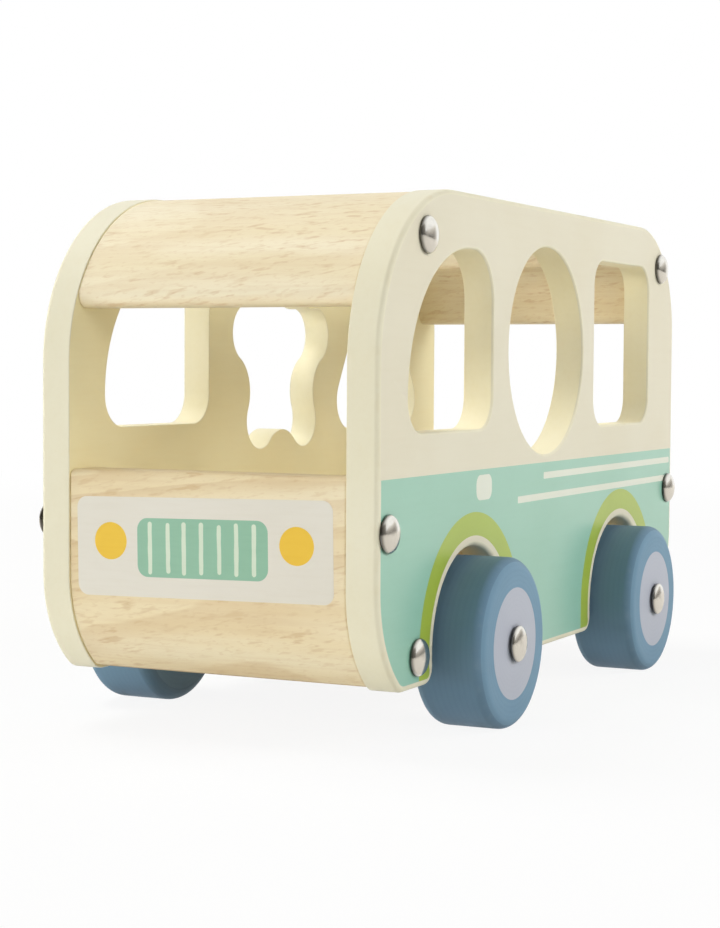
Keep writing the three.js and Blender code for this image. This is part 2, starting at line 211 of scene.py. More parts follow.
class Graph:
    """The node tree of one material or of the world, grown a node at a time."""

    def __init__(self, tree: bpy.types.NodeTree) -> None:
        """Take over a tree and empty it."""
        self.tree = tree
        tree.nodes.clear()

    def node(
        self,
        kind: str,
        settings: Optional[Mapping[str, Any]] = None,
        sockets: Optional[Mapping[Union[int, str], Any]] = None,
        output: Union[int, str] = 0,
    ) -> Field:
        """Add any node.

        Args:
            kind: The node's type.
            settings: Its own settings, set before its sockets.
            sockets: A value or a field for each input that is used.
            output: The output to hand back.

        Returns:
            That output, or an empty field for a node without outputs.
        """
        made = self.tree.nodes.new(kind)
        for name, value in (settings or {}).items():
            setattr(made, name, value)
        for key, value in (sockets or {}).items():
            if isinstance(value, Field):
                self.tree.links.new(value.socket, made.inputs[key])
            else:
                made.inputs[key].default_value = value
        return Field(self, made.outputs[output] if made.outputs else None)

    def math(self, operation: str, *values: Number) -> Field:
        """Add a Math node on one to three values."""
        return self.node("ShaderNodeMath", {"operation": operation}, dict(enumerate(values)))

    def blend(self, amount: Number, first: Any, second: Any) -> Field:
        """Mix two colours.

        Args:
            amount: 0 for the first colour, 1 for the second.
            first: A colour or a colour field.
            second: A colour or a colour field.

        Returns:
            The mixed colour.
        """
        return self.node("ShaderNodeMix", {"data_type": "RGBA"}, {0: amount, 6: first, 7: second}, 2)

    def place(self) -> Field:
        """The point of the surface in the piece's own frame, in metres."""
        return self.node("ShaderNodeTexCoord", output="Object")

    def turned(self, place: Field, angles: Sequence[float]) -> Field:
        """Turn a point about the origin by angles in radians."""
        settings = {"rotation_type": "EULER_XYZ"}
        return self.node("ShaderNodeVectorRotate", settings, {"Vector": place, "Rotation": tuple(angles)})

    def along(self, place: Field, axis: str) -> Field:
        """One coordinate of a point."""
        return self.node("ShaderNodeSeparateXYZ", None, {0: place}, axis)

    def distance(self, across: Field, up: Field) -> Field:
        """How far a point is from an axis, from its two coordinates."""
        return self.math("SQRT", across * across + up * up)

    def noise(self, place: Field, texture: Texture) -> Field:
        """Soft noise from 0 to 1.

        Args:
            place: The point at which it is read.
            texture: What the noise is like.

        Returns:
            The noise value.
        """
        if texture.stretch != EVEN:
            settings = {"operation": "MULTIPLY"}
            place = self.node("ShaderNodeVectorMath", settings, {0: place, 1: texture.stretch})
        sockets = {"Vector": place, "Scale": texture.scale, "Detail": texture.detail}
        return self.node("ShaderNodeTexNoise", None, sockets)

    def rim(self) -> Field:
        """How far round an edge the surface has turned, from 0 on the flat to 1."""
        return self.node("ShaderNodeAttribute", {"attribute_name": "rim"}, None, "Fac")

    def bump(self, height: Field, depth: float, strength: float) -> Field:
        """A bumped normal.

        Args:
            height: Height from 0 to 1.
            depth: What 1 stands for, in metres.
            strength: How much of it shows.

        Returns:
            The normal.
        """
        return self.node("ShaderNodeBump", None, {"Height": height, "Distance": depth, "Strength": strength})

    def close(self, shader: Field, kind: str = "ShaderNodeOutputMaterial") -> None:
        """Feed a shader to the tree's output."""
        self.node(kind, None, {"Surface": shader})


@dataclass(frozen=True)
class Finish:
    """A surface finish, made into one material on first use."""

    name: str

    def material(self) -> bpy.types.Material:
        """The material of this finish."""
        known = bpy.data.materials.get(self.name)
        if known:
            return known
        made = bpy.data.materials.new(self.name)
        made.use_nodes = True
        graph = Graph(made.node_tree)
        graph.close(self.shader(graph))
        return made

    def shader(self, graph: Graph) -> Field:
        """The shader of this finish, which each kind gives."""
        raise NotImplementedError


DRIFT = Texture(24.0, 3.0)
PEEL = Texture(1500.0)
GRAIN = Texture(900.0, 3.0)
SPECK = Texture(420.0, 4.0)
SCUFF = Texture(260.0, 5.0)
WANDER = Texture(60.0)


@dataclass(frozen=True)
class SatinPaint(Finish):
    """Sprayed satin paint on sanded wood, worn a little at the edges."""

    colour: str
    deep: str
    worn: str
    gloss: float = 0.46
    grain: float = 0.35
    grain_way: Triple = (1.0, 0.07, 1.0)
    turned: bool = False
    sheen: float = 0.4
    lacquer: float = 0.0
    lacquer_gloss: float = 0.22
    radial_rings: float = 5200.0
    length_rings: float = 4100.0
    ring_wander: float = 3.6

    def shader(self, graph: Graph) -> Field:
        """Paint with drifting tone, a spray texture and faint wood grain.

        Args:
            graph: The material's graph.

        Returns:
            The finished shader.
        """
        place = graph.place()
        drift = graph.noise(place, DRIFT)
        peel = graph.noise(place, PEEL)
        lines = graph.noise(place, GRAIN._replace(stretch=self.grain_way))
        if self.turned:
            lines = 0.5 * lines + 0.5 * self.lathe_lines(graph, place)
        speck = graph.noise(place, SPECK).rising(0.66, 0.78)
        tone = drift.rising(0.3, 0.72) * 0.55 + (lines.rising(0.42, 0.74) * self.grain) * 0.45 + speck * 0.12
        coat = graph.blend(tone, linear(self.colour), linear(self.deep))
        scuff = graph.rim() * graph.noise(place, SCUFF).rising(0.5, 0.72)
        coat = graph.blend(scuff * 0.22, coat, linear(self.worn))
        rough = self.gloss + 0.1 * (peel - 0.5) + 0.08 * (drift - 0.5) + 0.1 * scuff
        height = peel * 0.55 + lines * self.grain
        return graph.node("ShaderNodeBsdfPrincipled", None, {
            "Base Color": coat,
            "Roughness": rough,
            "Normal": graph.bump(height, GRAIN_DEPTH, GRAIN_SHOWS),
            "Specular IOR Level": self.sheen,
            "Coat Weight": self.lacquer,
            "Coat Roughness": self.lacquer_gloss,
        })

    def lathe_lines(self, graph: Graph, place: Field) -> Field:
        """Fine rings left by turning.

        Args:
            graph: The material's graph.
            place: The point in the wheel's frame, whose X is the axle.

        Returns:
            Rings from 0 to 1.
        """
        radius = graph.distance(graph.along(place, "Y"), graph.along(place, "Z"))
        wander = graph.noise(place, WANDER) * self.ring_wander
        length = graph.along(place, "X") * self.length_rings
        return 0.5 + 0.5 * (radius * self.radial_rings + wander + length).sine()


SWAY = Texture(55.0, 2.0, (0.35, 1.0, 1.0))
BANDS = Texture(120.0, 2.0, (0.08, 1.0, 1.0))
STREAKS = Texture(820.0, 3.0, (0.05, 1.0, 1.0))
FLECKS = Texture(780.0, 2.0, (0.2, 1.0, 1.0))
TICKS = Texture(1500.0, 1.0, (0.3, 1.0, 1.0))
PATCHES = Texture(85.0, 2.0, (0.3, 1.0, 1.0))
PORES = Texture(3400.0, 2.0, (0.09, 1.0, 1.0))


@dataclass(frozen=True)
class Timber(Finish):
    """Beech with its grain along X: growth rings round a pith line, short slanting flecks and fine pores."""

    pale: str
    middle: str
    fleck: str
    pith: Spot
    ring_step: float = 3.1 * MM
    ring_strength: float = 0.3
    fleck_strength: float = 0.5
    slant: float = 0.2
    lean: float = 0.05
    sway: float = 5.0 * MM
    gloss: float = 0.5
    lacquer: float = 0.06
    lacquer_gloss: float = 0.35

    def rings(self, graph: Graph, place: Field) -> Field:
        """Growth rings, palest early in the year and darkest at its end.

        Args:
            graph: The material's graph.
            place: The point in the board.

        Returns:
            Darkness of the ring from 0 to 1.
        """
        lean = graph.along(place, "X") * self.lean
        deep = graph.along(place, "Y") - self.pith[0] + lean
        high = graph.along(place, "Z") - self.pith[1] - lean * 0.6
        radius = graph.distance(deep, high) + graph.noise(place, SWAY) * self.sway
        year = graph.math("FRACT", radius / self.ring_step)
        return year.rising(0.25, 0.9) * (1.0 - year.rising(0.93, 1.0))

    def shader(self, graph: Graph) -> Field:
        """Wood whose bands, rings, flecks and pores are each at their real size.

        Args:
            graph: The material's graph.

        Returns:
            The finished shader.
        """
        place = graph.place()
        bands = graph.noise(place, BANDS)
        streaks = graph.noise(place, STREAKS)
        tilted = graph.turned(place, (0.0, self.slant, 0.0))
        flecks = graph.noise(tilted, FLECKS).rising(0.54, 0.7)
        ticks = graph.noise(tilted, TICKS).rising(0.58, 0.72)
        patches = graph.noise(place, PATCHES).rising(0.34, 0.62)
        pores = graph.noise(place, PORES)
        wood = graph.blend(bands.rising(0.32, 0.68), linear(self.pale), linear(self.middle))
        for darkness in (
            self.rings(graph, place) * self.ring_strength,
            streaks.rising(0.42, 0.72) * 0.16,
            (flecks * (0.3 + 0.7 * patches) + ticks * 0.4) * self.fleck_strength,
            pores.rising(0.55, 0.8) * 0.14,
        ):
            wood = graph.blend(darkness, wood, linear(self.fleck))
        wood = graph.blend(graph.rim() * 0.12, wood, linear(self.middle))
        rough = self.gloss + 0.14 * (pores - 0.5) + 0.1 * flecks
        height = 0.5 * pores - 0.3 * flecks + 0.2 * streaks
        return graph.node("ShaderNodeBsdfPrincipled", None, {
            "Base Color": wood,
            "Roughness": rough,
            "Normal": graph.bump(height, GRAIN_DEPTH, GRAIN_SHOWS),
            "Coat Weight": self.lacquer,
            "Coat Roughness": self.lacquer_gloss,
        })


SCRATCHES = Texture(2600.0, 3.0)
SMUDGE = Texture(320.0, 3.0)


@dataclass(frozen=True)
class BrightMetal(Finish):
    """Plated or drawn metal with fine scratches, faint handling marks and, on a head, a darker foot painted
    as shade.
    """

    colour: str
    stain: str
    gloss: float
    scratch_way: Triple = EVEN
    scratch: float = 0.25
    # On a head, the height over which its foot is darkened as painted shade; 0 for none.
    foot: float = 0.0
    tarnish: str = "2e2a22"

    def shader(self, graph: Graph) -> Field:
        """Metal whose roughness carries scratches and smudges.

        Args:
            graph: The material's graph.

        Returns:
            The finished shader.
        """
        place = graph.place()
        scratches = graph.noise(place, SCRATCHES._replace(stretch=self.scratch_way))
        smudge = graph.noise(place, SMUDGE)
        tint = graph.blend(smudge.rising(0.45, 0.8) * 0.35, linear(self.colour), linear(self.stain))
        tint = graph.blend(graph.rim() * 0.3, tint, linear(self.stain))
        # Darken the head towards its foot: painted shade where the dome meets the surface.
        if self.foot:
            low = 1.0 - graph.along(place, "X").rising(0.3 * self.foot, self.foot)
            tint = graph.blend(low * (0.75 + 0.25 * smudge), tint, linear(self.tarnish))
        rough = self.gloss + 0.1 * smudge.rising(0.4, 0.8) + 0.08 * scratches
        return graph.node("ShaderNodeBsdfPrincipled", None, {
            "Base Color": tint,
            "Metallic": 1.0,
            "Roughness": rough,
            "Normal": graph.bump(scratches, SCRATCH_DEPTH, self.scratch),
        })


FACE_GRAIN: Triple = (0.1, 1.0, 1.0)
WHEEL_GRAIN: Triple = (0.2, 1.0, 1.0)
CREAM = SatinPaint("cream_satin", "e6e0ca", "e1d9c0", "d8c9a4")
# A brighter, yellower copy of the cream for the panel edges: painted light from the front.
EDGE_LIT_CREAM = SatinPaint("edge_cream_satin", "ebe6cd", "e6dfc1", "dccca1")
# A brighter copy of the cream for the holes' reveals: painted light on the reveals.
REVEAL_LIT_CREAM = SatinPaint("reveal_cream_satin", "f6efcf", "f0e7bd", "e2d3a6")
# A yellower, brighter copy of the cream for the right panel's inside: painted bounce light in the cabin.
INSIDE_BOUNCE_CREAM = SatinPaint("straw_satin", "f7edc0", "f2e4b0", "e4d19b")
MINT = SatinPaint("mint_print", "98ccb6", "8fc4ac", "cfdccb", 0.38, sheen=1.0, lacquer=0.6)
LIME = SatinPaint("lime_print", "a8c034", "9eb428", "cdd5a0", 0.38, sheen=1.0, lacquer=0.5)
WHITE = SatinPaint("white_print", "e6e9da", "dfe2cf", "d8d2b4", gloss=0.5)
FACE_WHITE = SatinPaint("face_white_print", "e6e2d6", "dfd9ca", "d2c4a6", 0.52, 0.5, FACE_GRAIN)
GRILLE = SatinPaint("grille_print", "98c3a9", "8dba9e", "b5cdbb", 0.52, 0.5, FACE_GRAIN)
BAR = SatinPaint("bar_print", "dbe7d2", "d0dfc6", "c8d4b8", 0.52, 0.4, FACE_GRAIN)
LAMP = SatinPaint("lamp_print", "f2ca4a", "eabd3c", "e0bf6a", 0.5, 0.4, FACE_GRAIN)
WHEEL_BLUE = SatinPaint("wheel_blue_satin", "789bb2", "6e91a9", "a8b9c4", 0.54, 0.5, WHEEL_GRAIN, True)
# A darker copy of the wheel blue for the tread: painted shade.
SHADED_TREAD_BLUE = SatinPaint("wheel_tread_satin", "6b8ca3", "63839b", "93a7b4", 0.54, 0.5, WHEEL_GRAIN, True)
WHEEL_DISC = SatinPaint("wheel_disc_print", "bcc0cb", "b2b7c4", "c9cdd4", 0.46, 0.4, WHEEL_GRAIN, True)
FASCIA_BEECH = Timber("fascia_beech", "f1e4c2", "ebd9b0", "cdab7a", (-75 * MM, 35 * MM))
RAIL_BEECH = Timber("rail_beech", "f4e9cb", "eee0bc", "d0af80", (-30 * MM, 20 * MM), 4.2 * MM, 0.14)
FLOOR_BEECH = Timber("floor_beech", "e2cda3", "d8be8e", "b99263", (0.0, -40 * MM), gloss=0.62, lacquer=0.0)
# The nickel heads are darkened at the foot as painted shade.
NICKEL = BrightMetal("polished_nickel", "f1efe8", "c0baad", 0.13, foot=1.2 * MM)
STEEL = BrightMetal("drawn_steel", "c3c4c6", "8f9092", 0.24, (0.05, 1.0, 1.0), 0.4)


class EdgePoint(NamedTuple):
    """A point of an outline, with the direction that leads out of the material there."""

    across: float
    up: float
    out_across: float
    out_up: float

    def inset(self, depth: float) -> Spot:
        """The place at a depth inside the outline."""
        return self.across - depth * self.out_across, self.up - depth * self.out_up


Outline = list[EdgePoint]


def arc(centre: Spot, radius: float, start: float, end: float) -> Outline:
    """Points along an arc, with the material on the left of the way it runs.

    Args:
        centre: The arc's centre.
        radius: Its radius.
        start: First angle in degrees.
        end: Last angle in degrees.

    Returns:
        The points, both ends included.
    """
    widest = math.degrees(2 * math.acos(1 - min(0.5, FLAT_TO_ARC / radius)))
    steps = max(2, math.ceil(abs(end - start) / widest))
    side = 1.0 if end > start else -1.0
    points = []
    for step in range(steps + 1):
        angle = math.radians(start + (end - start) * step / steps)
        reach, rise = math.cos(angle), math.sin(angle)
        place = centre[0] + radius * reach, centre[1] + radius * rise
        points.append(EdgePoint(*place, side * reach, side * rise))
    return points


def as_hole(outline: Outline) -> Outline:
    """The outline of a shape turned into that of a hole of the same shape."""
    return [EdgePoint(p.across, p.up, -p.out_across, -p.out_up) for p in reversed(outline)]


def end_for_end(outline: Outline) -> Outline:
    """The outline mirrored from the front end to the rear end."""
    return [EdgePoint(-p.across, p.up, -p.out_across, p.out_up) for p in reversed(outline)]


def polar(centre: Spot, distance: float, degrees: float) -> Spot:
    """The place at a distance and an angle from a centre."""
    angle = math.radians(degrees)
    return centre[0] + distance * math.cos(angle), centre[1] + distance * math.sin(angle)


def rounded_box(low: Spot, high: Spot, radius: float) -> Outline:
    """A box with four equal round corners.

    Args:
        low: Its lowest corner.
        high: Its highest corner.
        radius: The corners' radius.

    Returns:
        The outline, anticlockwise.
    """
    left, right = low[0] + radius, high[0] - radius
    bottom, top = low[1] + radius, high[1] - radius
    return [
        *arc((left, bottom), radius, 180, 270),
        *arc((right, bottom), radius, 270, 360),
        *arc((right, top), radius, 0, 90),
        *arc((left, top), radius, 90, 180),
    ]


def spots(outline: Outline, depth: float = 0.0) -> list[Spot]:
    """The bare places of an outline, at a depth inside it."""
    return [point.inset(depth) for point in outline]


def holds(shape: Sequence[Spot], across: float, up: float) -> bool:
    """Tell whether a place is inside a closed shape.

    Args:
        shape: The shape's corners in order.
        across: First coordinate of the place.
        up: Second coordinate of the place.

    Returns:
        True inside the shape.
    """
    inside = False
    for (a0, u0), (a1, u1) in zip(shape, [*shape[1:], shape[0]]):
        if (u0 > up) != (u1 > up) and across < a0 + (up - u0) * (a1 - a0) / (u1 - u0):
            inside = not inside
    return inside


class Draft:
    """Points, faces and coats of one piece while its mesh is being made."""

    def __init__(self) -> None:
        """Start with nothing."""
        self.points: list[Vector] = []
        self.normals: list[Vector] = []
        self.rims: list[float] = []
        self.faces: list[tuple[int, ...]] = []
        self.coats: list[int] = []

    def point(self, place: Sequence[float], normal: Sequence[float], rim: float = 0.0) -> int:
        """Add a point.

        Args:
            place: Where it is.
            normal: The way the smooth surface faces there.
            rim: How far round an edge it is, from 0 to 1.

        Returns:
            Its index.
        """
        self.points.append(Vector(place))
        self.normals.append(Vector(normal).normalized())
        self.rims.append(rim)
        return len(self.points) - 1

    def face(self, corners: Sequence[int], coat: int = 0) -> None:
        """Add a face with one coat."""
        self.faces.append(tuple(corners))
        self.coats.append(coat)

    def loft(self, low: Sequence[int], high: Sequence[int], coat: int = 0) -> None:
        """Join two closed rings of points by a band of faces."""
        for index, corner in enumerate(low):
            following = (index + 1) % len(low)
            self.face((corner, low[following], high[following], high[index]), coat)

    def sheet(
        self,
        loops: Sequence[Sequence[Spot]],
        rings: Sequence[Sequence[int]],
        lines: Sequence[Sequence[Spot]],
        coat_at: CoatAt,
        lift: Lift,
        flip: bool = False,
    ) -> None:
        """Fill a flat area between loops, cut along lines so that each coat has a crisp border.

        Args:
            loops: The closed borders of the area.
            rings: The point indices of each border, already in the draft.
            lines: Closed or open lines to cut along.
            coat_at: The coat at a place, or None outside the area.
            lift: The point in space and its normal for a place.
            flip: Turn the faces over.
        """
        places: list[Vector] = []
        known: list[Optional[int]] = []
        edges: list[tuple[int, int]] = []
        for loop, ring in zip(loops, rings):
            first = len(places)
            places += [Vector(spot) / MM for spot in loop]
            known += ring
            edges += [(first + i, first + (i + 1) % len(loop)) for i in range(len(loop))]
        for line in lines:
            first = len(places)
            places += [Vector(spot) / MM for spot in line]
            known += [None] * len(line)
            edges += [(first + i, first + i + 1) for i in range(len(line) - 1)]
        found, _, triangles, sources, _, _ = delaunay_2d_cdt(places, edges, [], 0, SAME_PLACE)
        indices: dict[int, int] = {}
        for corners in triangles:
            middle = sum((found[c] for c in corners), Vector((0.0, 0.0))) * (MM / len(corners))
            coat = coat_at(middle.x, middle.y)
            if coat is None:
                continue
            face = []
            for corner in corners:
                if corner not in indices:
                    owned = [known[s] for s in sources[corner] if known[s] is not None]
                    indices[corner] = owned[0] if owned else self.point(*lift(*(found[corner] * MM)))
                face.append(indices[corner])
            self.face(face[::-1] if flip else face, coat)

    def piece(self, name: str, finishes: Sequence[Finish]) -> bpy.types.Object:
        """Turn the draft into an object.

        Args:
            name: The piece's name.
            finishes: A finish for each coat.

        Returns:
            The object, linked to the scene.
        """
        mesh = bpy.data.meshes.new(name)
        mesh.from_pydata(self.points, [], self.faces)
        for finish in finishes:
            mesh.materials.append(finish.material())
        mesh.polygons.foreach_set("material_index", self.coats)
        mesh.polygons.foreach_set("use_smooth", [True] * len(self.faces))
        rim = mesh.attributes.new("rim", "FLOAT", "POINT")
        rim.data.foreach_set("value", self.rims)
        mesh.normals_split_custom_set_from_vertices(self.normals)
        made = bpy.data.objects.new(name, mesh)
        bpy.context.scene.collection.objects.link(made)
        return made


@dataclass(frozen=True)
class BoardCut:
    """A board between two planes of X, with every edge rounded over."""

    low: float
    high: float
    rounds: Mapping[Side, float]
    steps: int = 5
    hole_coat: int = 0
    shown: Side = Side.LEFT
    hole_rounds: Optional[Mapping[Side, float]] = None

    def rounding(self, hole: bool) -> Mapping[Side, float]:
        """The round-overs of the outline, or of the holes."""
        return self.hole_rounds if hole and self.hole_rounds else self.rounds

    def rows(self, hole: bool) -> list[tuple[float, float, float]]:
        """The board's rows of points across its thickness.

        Args:
            hole: True round a hole.

        Returns:
            X, depth inside the outline and slope towards +X in radians, for each row.
        """
        bends = [math.pi / 2 * step / self.steps for step in range(self.steps + 1)]
        rows = []
        for side, face, turns in ((Side.RIGHT, self.low, bends[::-1]), (Side.LEFT, self.high, bends)):
            radius, sign = self.rounding(hole)[side], side.value
            for turn in turns:
                back, depth = radius * (1 - math.sin(turn)), radius * (1 - math.cos(turn))
                rows.append((face - sign * back, depth, sign * turn))
        return rows

    def hole_band(self, band: int) -> int:
        """The coat of a band round a hole, where the shown side's round-over keeps the edges' own."""
        outside = band > self.steps if self.shown is Side.LEFT else band < self.steps
        return 0 if outside else self.hole_coat

    def draft(
        self,
        loops: Sequence[Outline],
        lines: Mapping[Side, Sequence[Sequence[Spot]]],
        coat_at: Callable[[Side, float, float], int],
    ) -> Draft:
        """Cut the board.

        Args:
            loops: Its outline, then those of its holes.
            lines: Paint borders on the face of each side.
            coat_at: The coat at a place on the face of a side.

        Returns:
            The draft of the board.
        """
        draft = Draft()
        faces: dict[Side, list[list[int]]] = {Side.LEFT: [], Side.RIGHT: []}
        for loop in loops:
            rings = []
            for x, depth, slope in self.rows(loop is not loops[0]):
                level, tilt = math.cos(slope), math.sin(slope)
                rim = 1.0 - abs(abs(slope) / (math.pi / 4) - 1.0) if depth else FLAT_EDGE_WEAR
                rings.append([
                    draft.point((x, *p.inset(depth)), (tilt, level * p.out_across, level * p.out_up), rim)
                    for p in loop
                ])
            for band, (low, high) in enumerate(zip(rings, rings[1:])):
                draft.loft(low, high, 0 if loop is loops[0] else self.hole_band(band))
            faces[Side.RIGHT].append(rings[0])
            faces[Side.LEFT].append(rings[-1])
        for side, x in ((Side.RIGHT, self.low), (Side.LEFT, self.high)):
            borders = [spots(loop, self.rounding(loop is not loops[0])[side]) for loop in loops]
            self.fill(draft, side, x, borders, faces[side], lines.get(side, ()), coat_at)
        return draft

    def fill(
        self,
        draft: Draft,
        side: Side,
        x: float,
        borders: Sequence[Sequence[Spot]],
        rings: Sequence[Sequence[int]],
        lines: Sequence[Sequence[Spot]],
        coat_at: Callable[[Side, float, float], int],
    ) -> None:
        """Fill the flat face of one side.

        Args:
            draft: The board's draft.
            side: The side that the face looks to.
            x: The face's place.
            borders: Its outline, then those of its holes.
            rings: The points of each border.
            lines: Paint borders on the face.
            coat_at: The coat at a place on the face of a side.
        """
        def coat(across: float, up: float) -> Optional[int]:
            """The coat at a place, or None off the board."""
            if not holds(borders[0], across, up) or any(holds(hole, across, up) for hole in borders[1:]):
                return None
            return coat_at(side, across, up)

        def lift(across: float, up: float) -> tuple[Triple, Triple]:
            """The point of the face at a place, and its normal."""
            return (x, across, up), (float(side.value), 0.0, 0.0)

        draft.sheet(borders, rings, lines, coat, lift, side is Side.RIGHT)


@dataclass(frozen=True)
class Turning:
    """A section turned about the X axis, in one coat unless each band's is given."""

    section: Outline
    coats: Sequence[int] = ()
    sides: int = SMALL_SIDES

    def piece(self, name: str, finishes: Sequence[Finish]) -> bpy.types.Object:
        """Turn the section into a piece.

        Args:
            name: The piece's name.
            finishes: A finish for each coat.

        Returns:
            The piece, linked to the scene.
        """
        draft = Draft()
        rings = [self.ring(draft, point) for point in self.section]
        for (low, high), coat in zip(zip(rings, rings[1:]), self.coats or [0] * len(rings)):
            self.band(draft, low, high, coat)
        return draft.piece(name, finishes)

    def ring(self, draft: Draft, point: EdgePoint) -> list[int]:
        """Turn a point of the section into a ring of points, or one on the axis into a single point.

        Args:
            draft: The piece's draft.
            point: Radius and X of the point, and its direction out.

        Returns:
            The indices of the ring.
        """
        radius, x, out_radius, out_x = point
        wear = TURNED_WEAR * (1.0 - abs(2.0 * abs(out_x) - 1.0))
        ring = []
        for side in range(self.sides if radius > ON_AXIS else 1):
            angle = 2 * math.pi * side / self.sides
            reach, rise = math.cos(angle), math.sin(angle)
            place, normal = (x, radius * reach, radius * rise), (out_x, out_radius * reach, out_radius * rise)
            ring.append(draft.point(place, normal, wear))
        return ring

    def band(self, draft: Draft, low: Sequence[int], high: Sequence[int], coat: int) -> None:
        """Join two turned rings, either of which may be a single point.

        Args:
            draft: The piece's draft.
            low: The first ring.
            high: The next ring along the section.
            coat: The band's coat.
        """
        for side in range(self.sides):
            turns = side, (side + 1) % self.sides
            corners = [low[turn % len(low)] for turn in turns]
            corners += [high[turn % len(high)] for turn in reversed(turns)]
            face = list(dict.fromkeys(corners))
            if len(face) > 2:
                draft.face(face, coat)


def dress(piece: bpy.types.Object, body: str, slot: str, *nodes: str) -> bpy.types.Object:
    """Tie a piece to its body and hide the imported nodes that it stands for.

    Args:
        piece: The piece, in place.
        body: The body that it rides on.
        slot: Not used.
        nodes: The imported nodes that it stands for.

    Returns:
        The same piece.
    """
    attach(piece, body)
    if nodes:
        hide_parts(*nodes)
    log.info("%s rides on %s", piece.name, body)
    return piece


@dataclass(frozen=True)
class BodyShape:
    """The side view that the panels, rails and fascias share."""

    front_top_radius: float = 42 * MM
    rear_top_radius: float = 31 * MM
    lower_radius: float = 30 * MM
    lower_degrees: float = 50
    lower_corner: float = 6 * MM
    arch_clearance: float = 2.4 * MM
    arch_corner: float = 4 * MM

    @cached_property
    def nose(self) -> float:
        """Y of the front end."""
        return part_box("left_side_panel")[0].y

    @cached_property
    def top(self) -> float:
        """Height of the panels' top edge."""
        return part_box("left_side_panel")[1].z

    @cached_property
    def bottom(self) -> float:
        """Height of the panels' bottom edge."""
        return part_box("left_side_panel")[0].z

    @cache
    def axle(self, end: End) -> Spot:
        """Y and Z of an axle."""
        low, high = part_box(f"{end.label}_left_wheel")
        return (low.y + high.y) / 2, (low.z + high.z) / 2

    @cached_property
    def wheel_radius(self) -> float:
        """Radius of the wheels."""
        low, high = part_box("front_left_wheel")
        return (high.z - low.z) / 2

    @property
    def arch_radius(self) -> float:
        """Radius of the wheel arches."""
        return self.wheel_radius + self.arch_clearance

    def lower_centres(self) -> tuple[Spot, Spot]:
        """Centres of the long curve under the nose and of the tight one that ends it."""
        tight = self.lower_radius - self.lower_corner
        start = self.bottom + self.lower_corner + tight * math.sin(math.radians(self.lower_degrees))
        long_centre = (self.nose + self.lower_radius, start)
        return long_centre, polar(long_centre, tight, 180 + self.lower_degrees)

    def lower_curve(self) -> Outline:
        """The curve from the upright nose down to the bottom edge."""
        long_centre, tight_centre = self.lower_centres()
        joint = 180 + self.lower_degrees
        return [
            *arc(long_centre, self.lower_radius, 180, joint),
            *arc(tight_centre, self.lower_corner, joint, 270)[1:],
        ]

    def arch(self, end: End) -> Outline:
        """A wheel arch with its two soft lower corners."""
        across, up = self.axle(end)
        reach = self.arch_radius + self.arch_corner
        low = self.bottom + self.arch_corner
        return [
            *arc((across - reach, low), self.arch_corner, 270, 360),
            *arc((across, up), self.arch_radius, 180, 0),
            *arc((across + reach, low), self.arch_corner, 180, 270),
        ]

    def underside(self) -> Outline:
        """The outline from the nose, under the arches, to the tail."""
        return [
            *self.lower_curve(),
            *self.arch(End.FRONT),
            *self.arch(End.REAR),
            *end_for_end(self.lower_curve()),
        ]

    def outline(self) -> Outline:
        """The whole outline of a side panel."""
        rear = (-self.nose - self.rear_top_radius, self.top - self.rear_top_radius)
        front = (self.nose + self.front_top_radius, self.top - self.front_top_radius)
        return [
            *self.underside(),
            *arc(rear, self.rear_top_radius, 0, 90),
            *arc(front, self.front_top_radius, 90, 180),
        ]


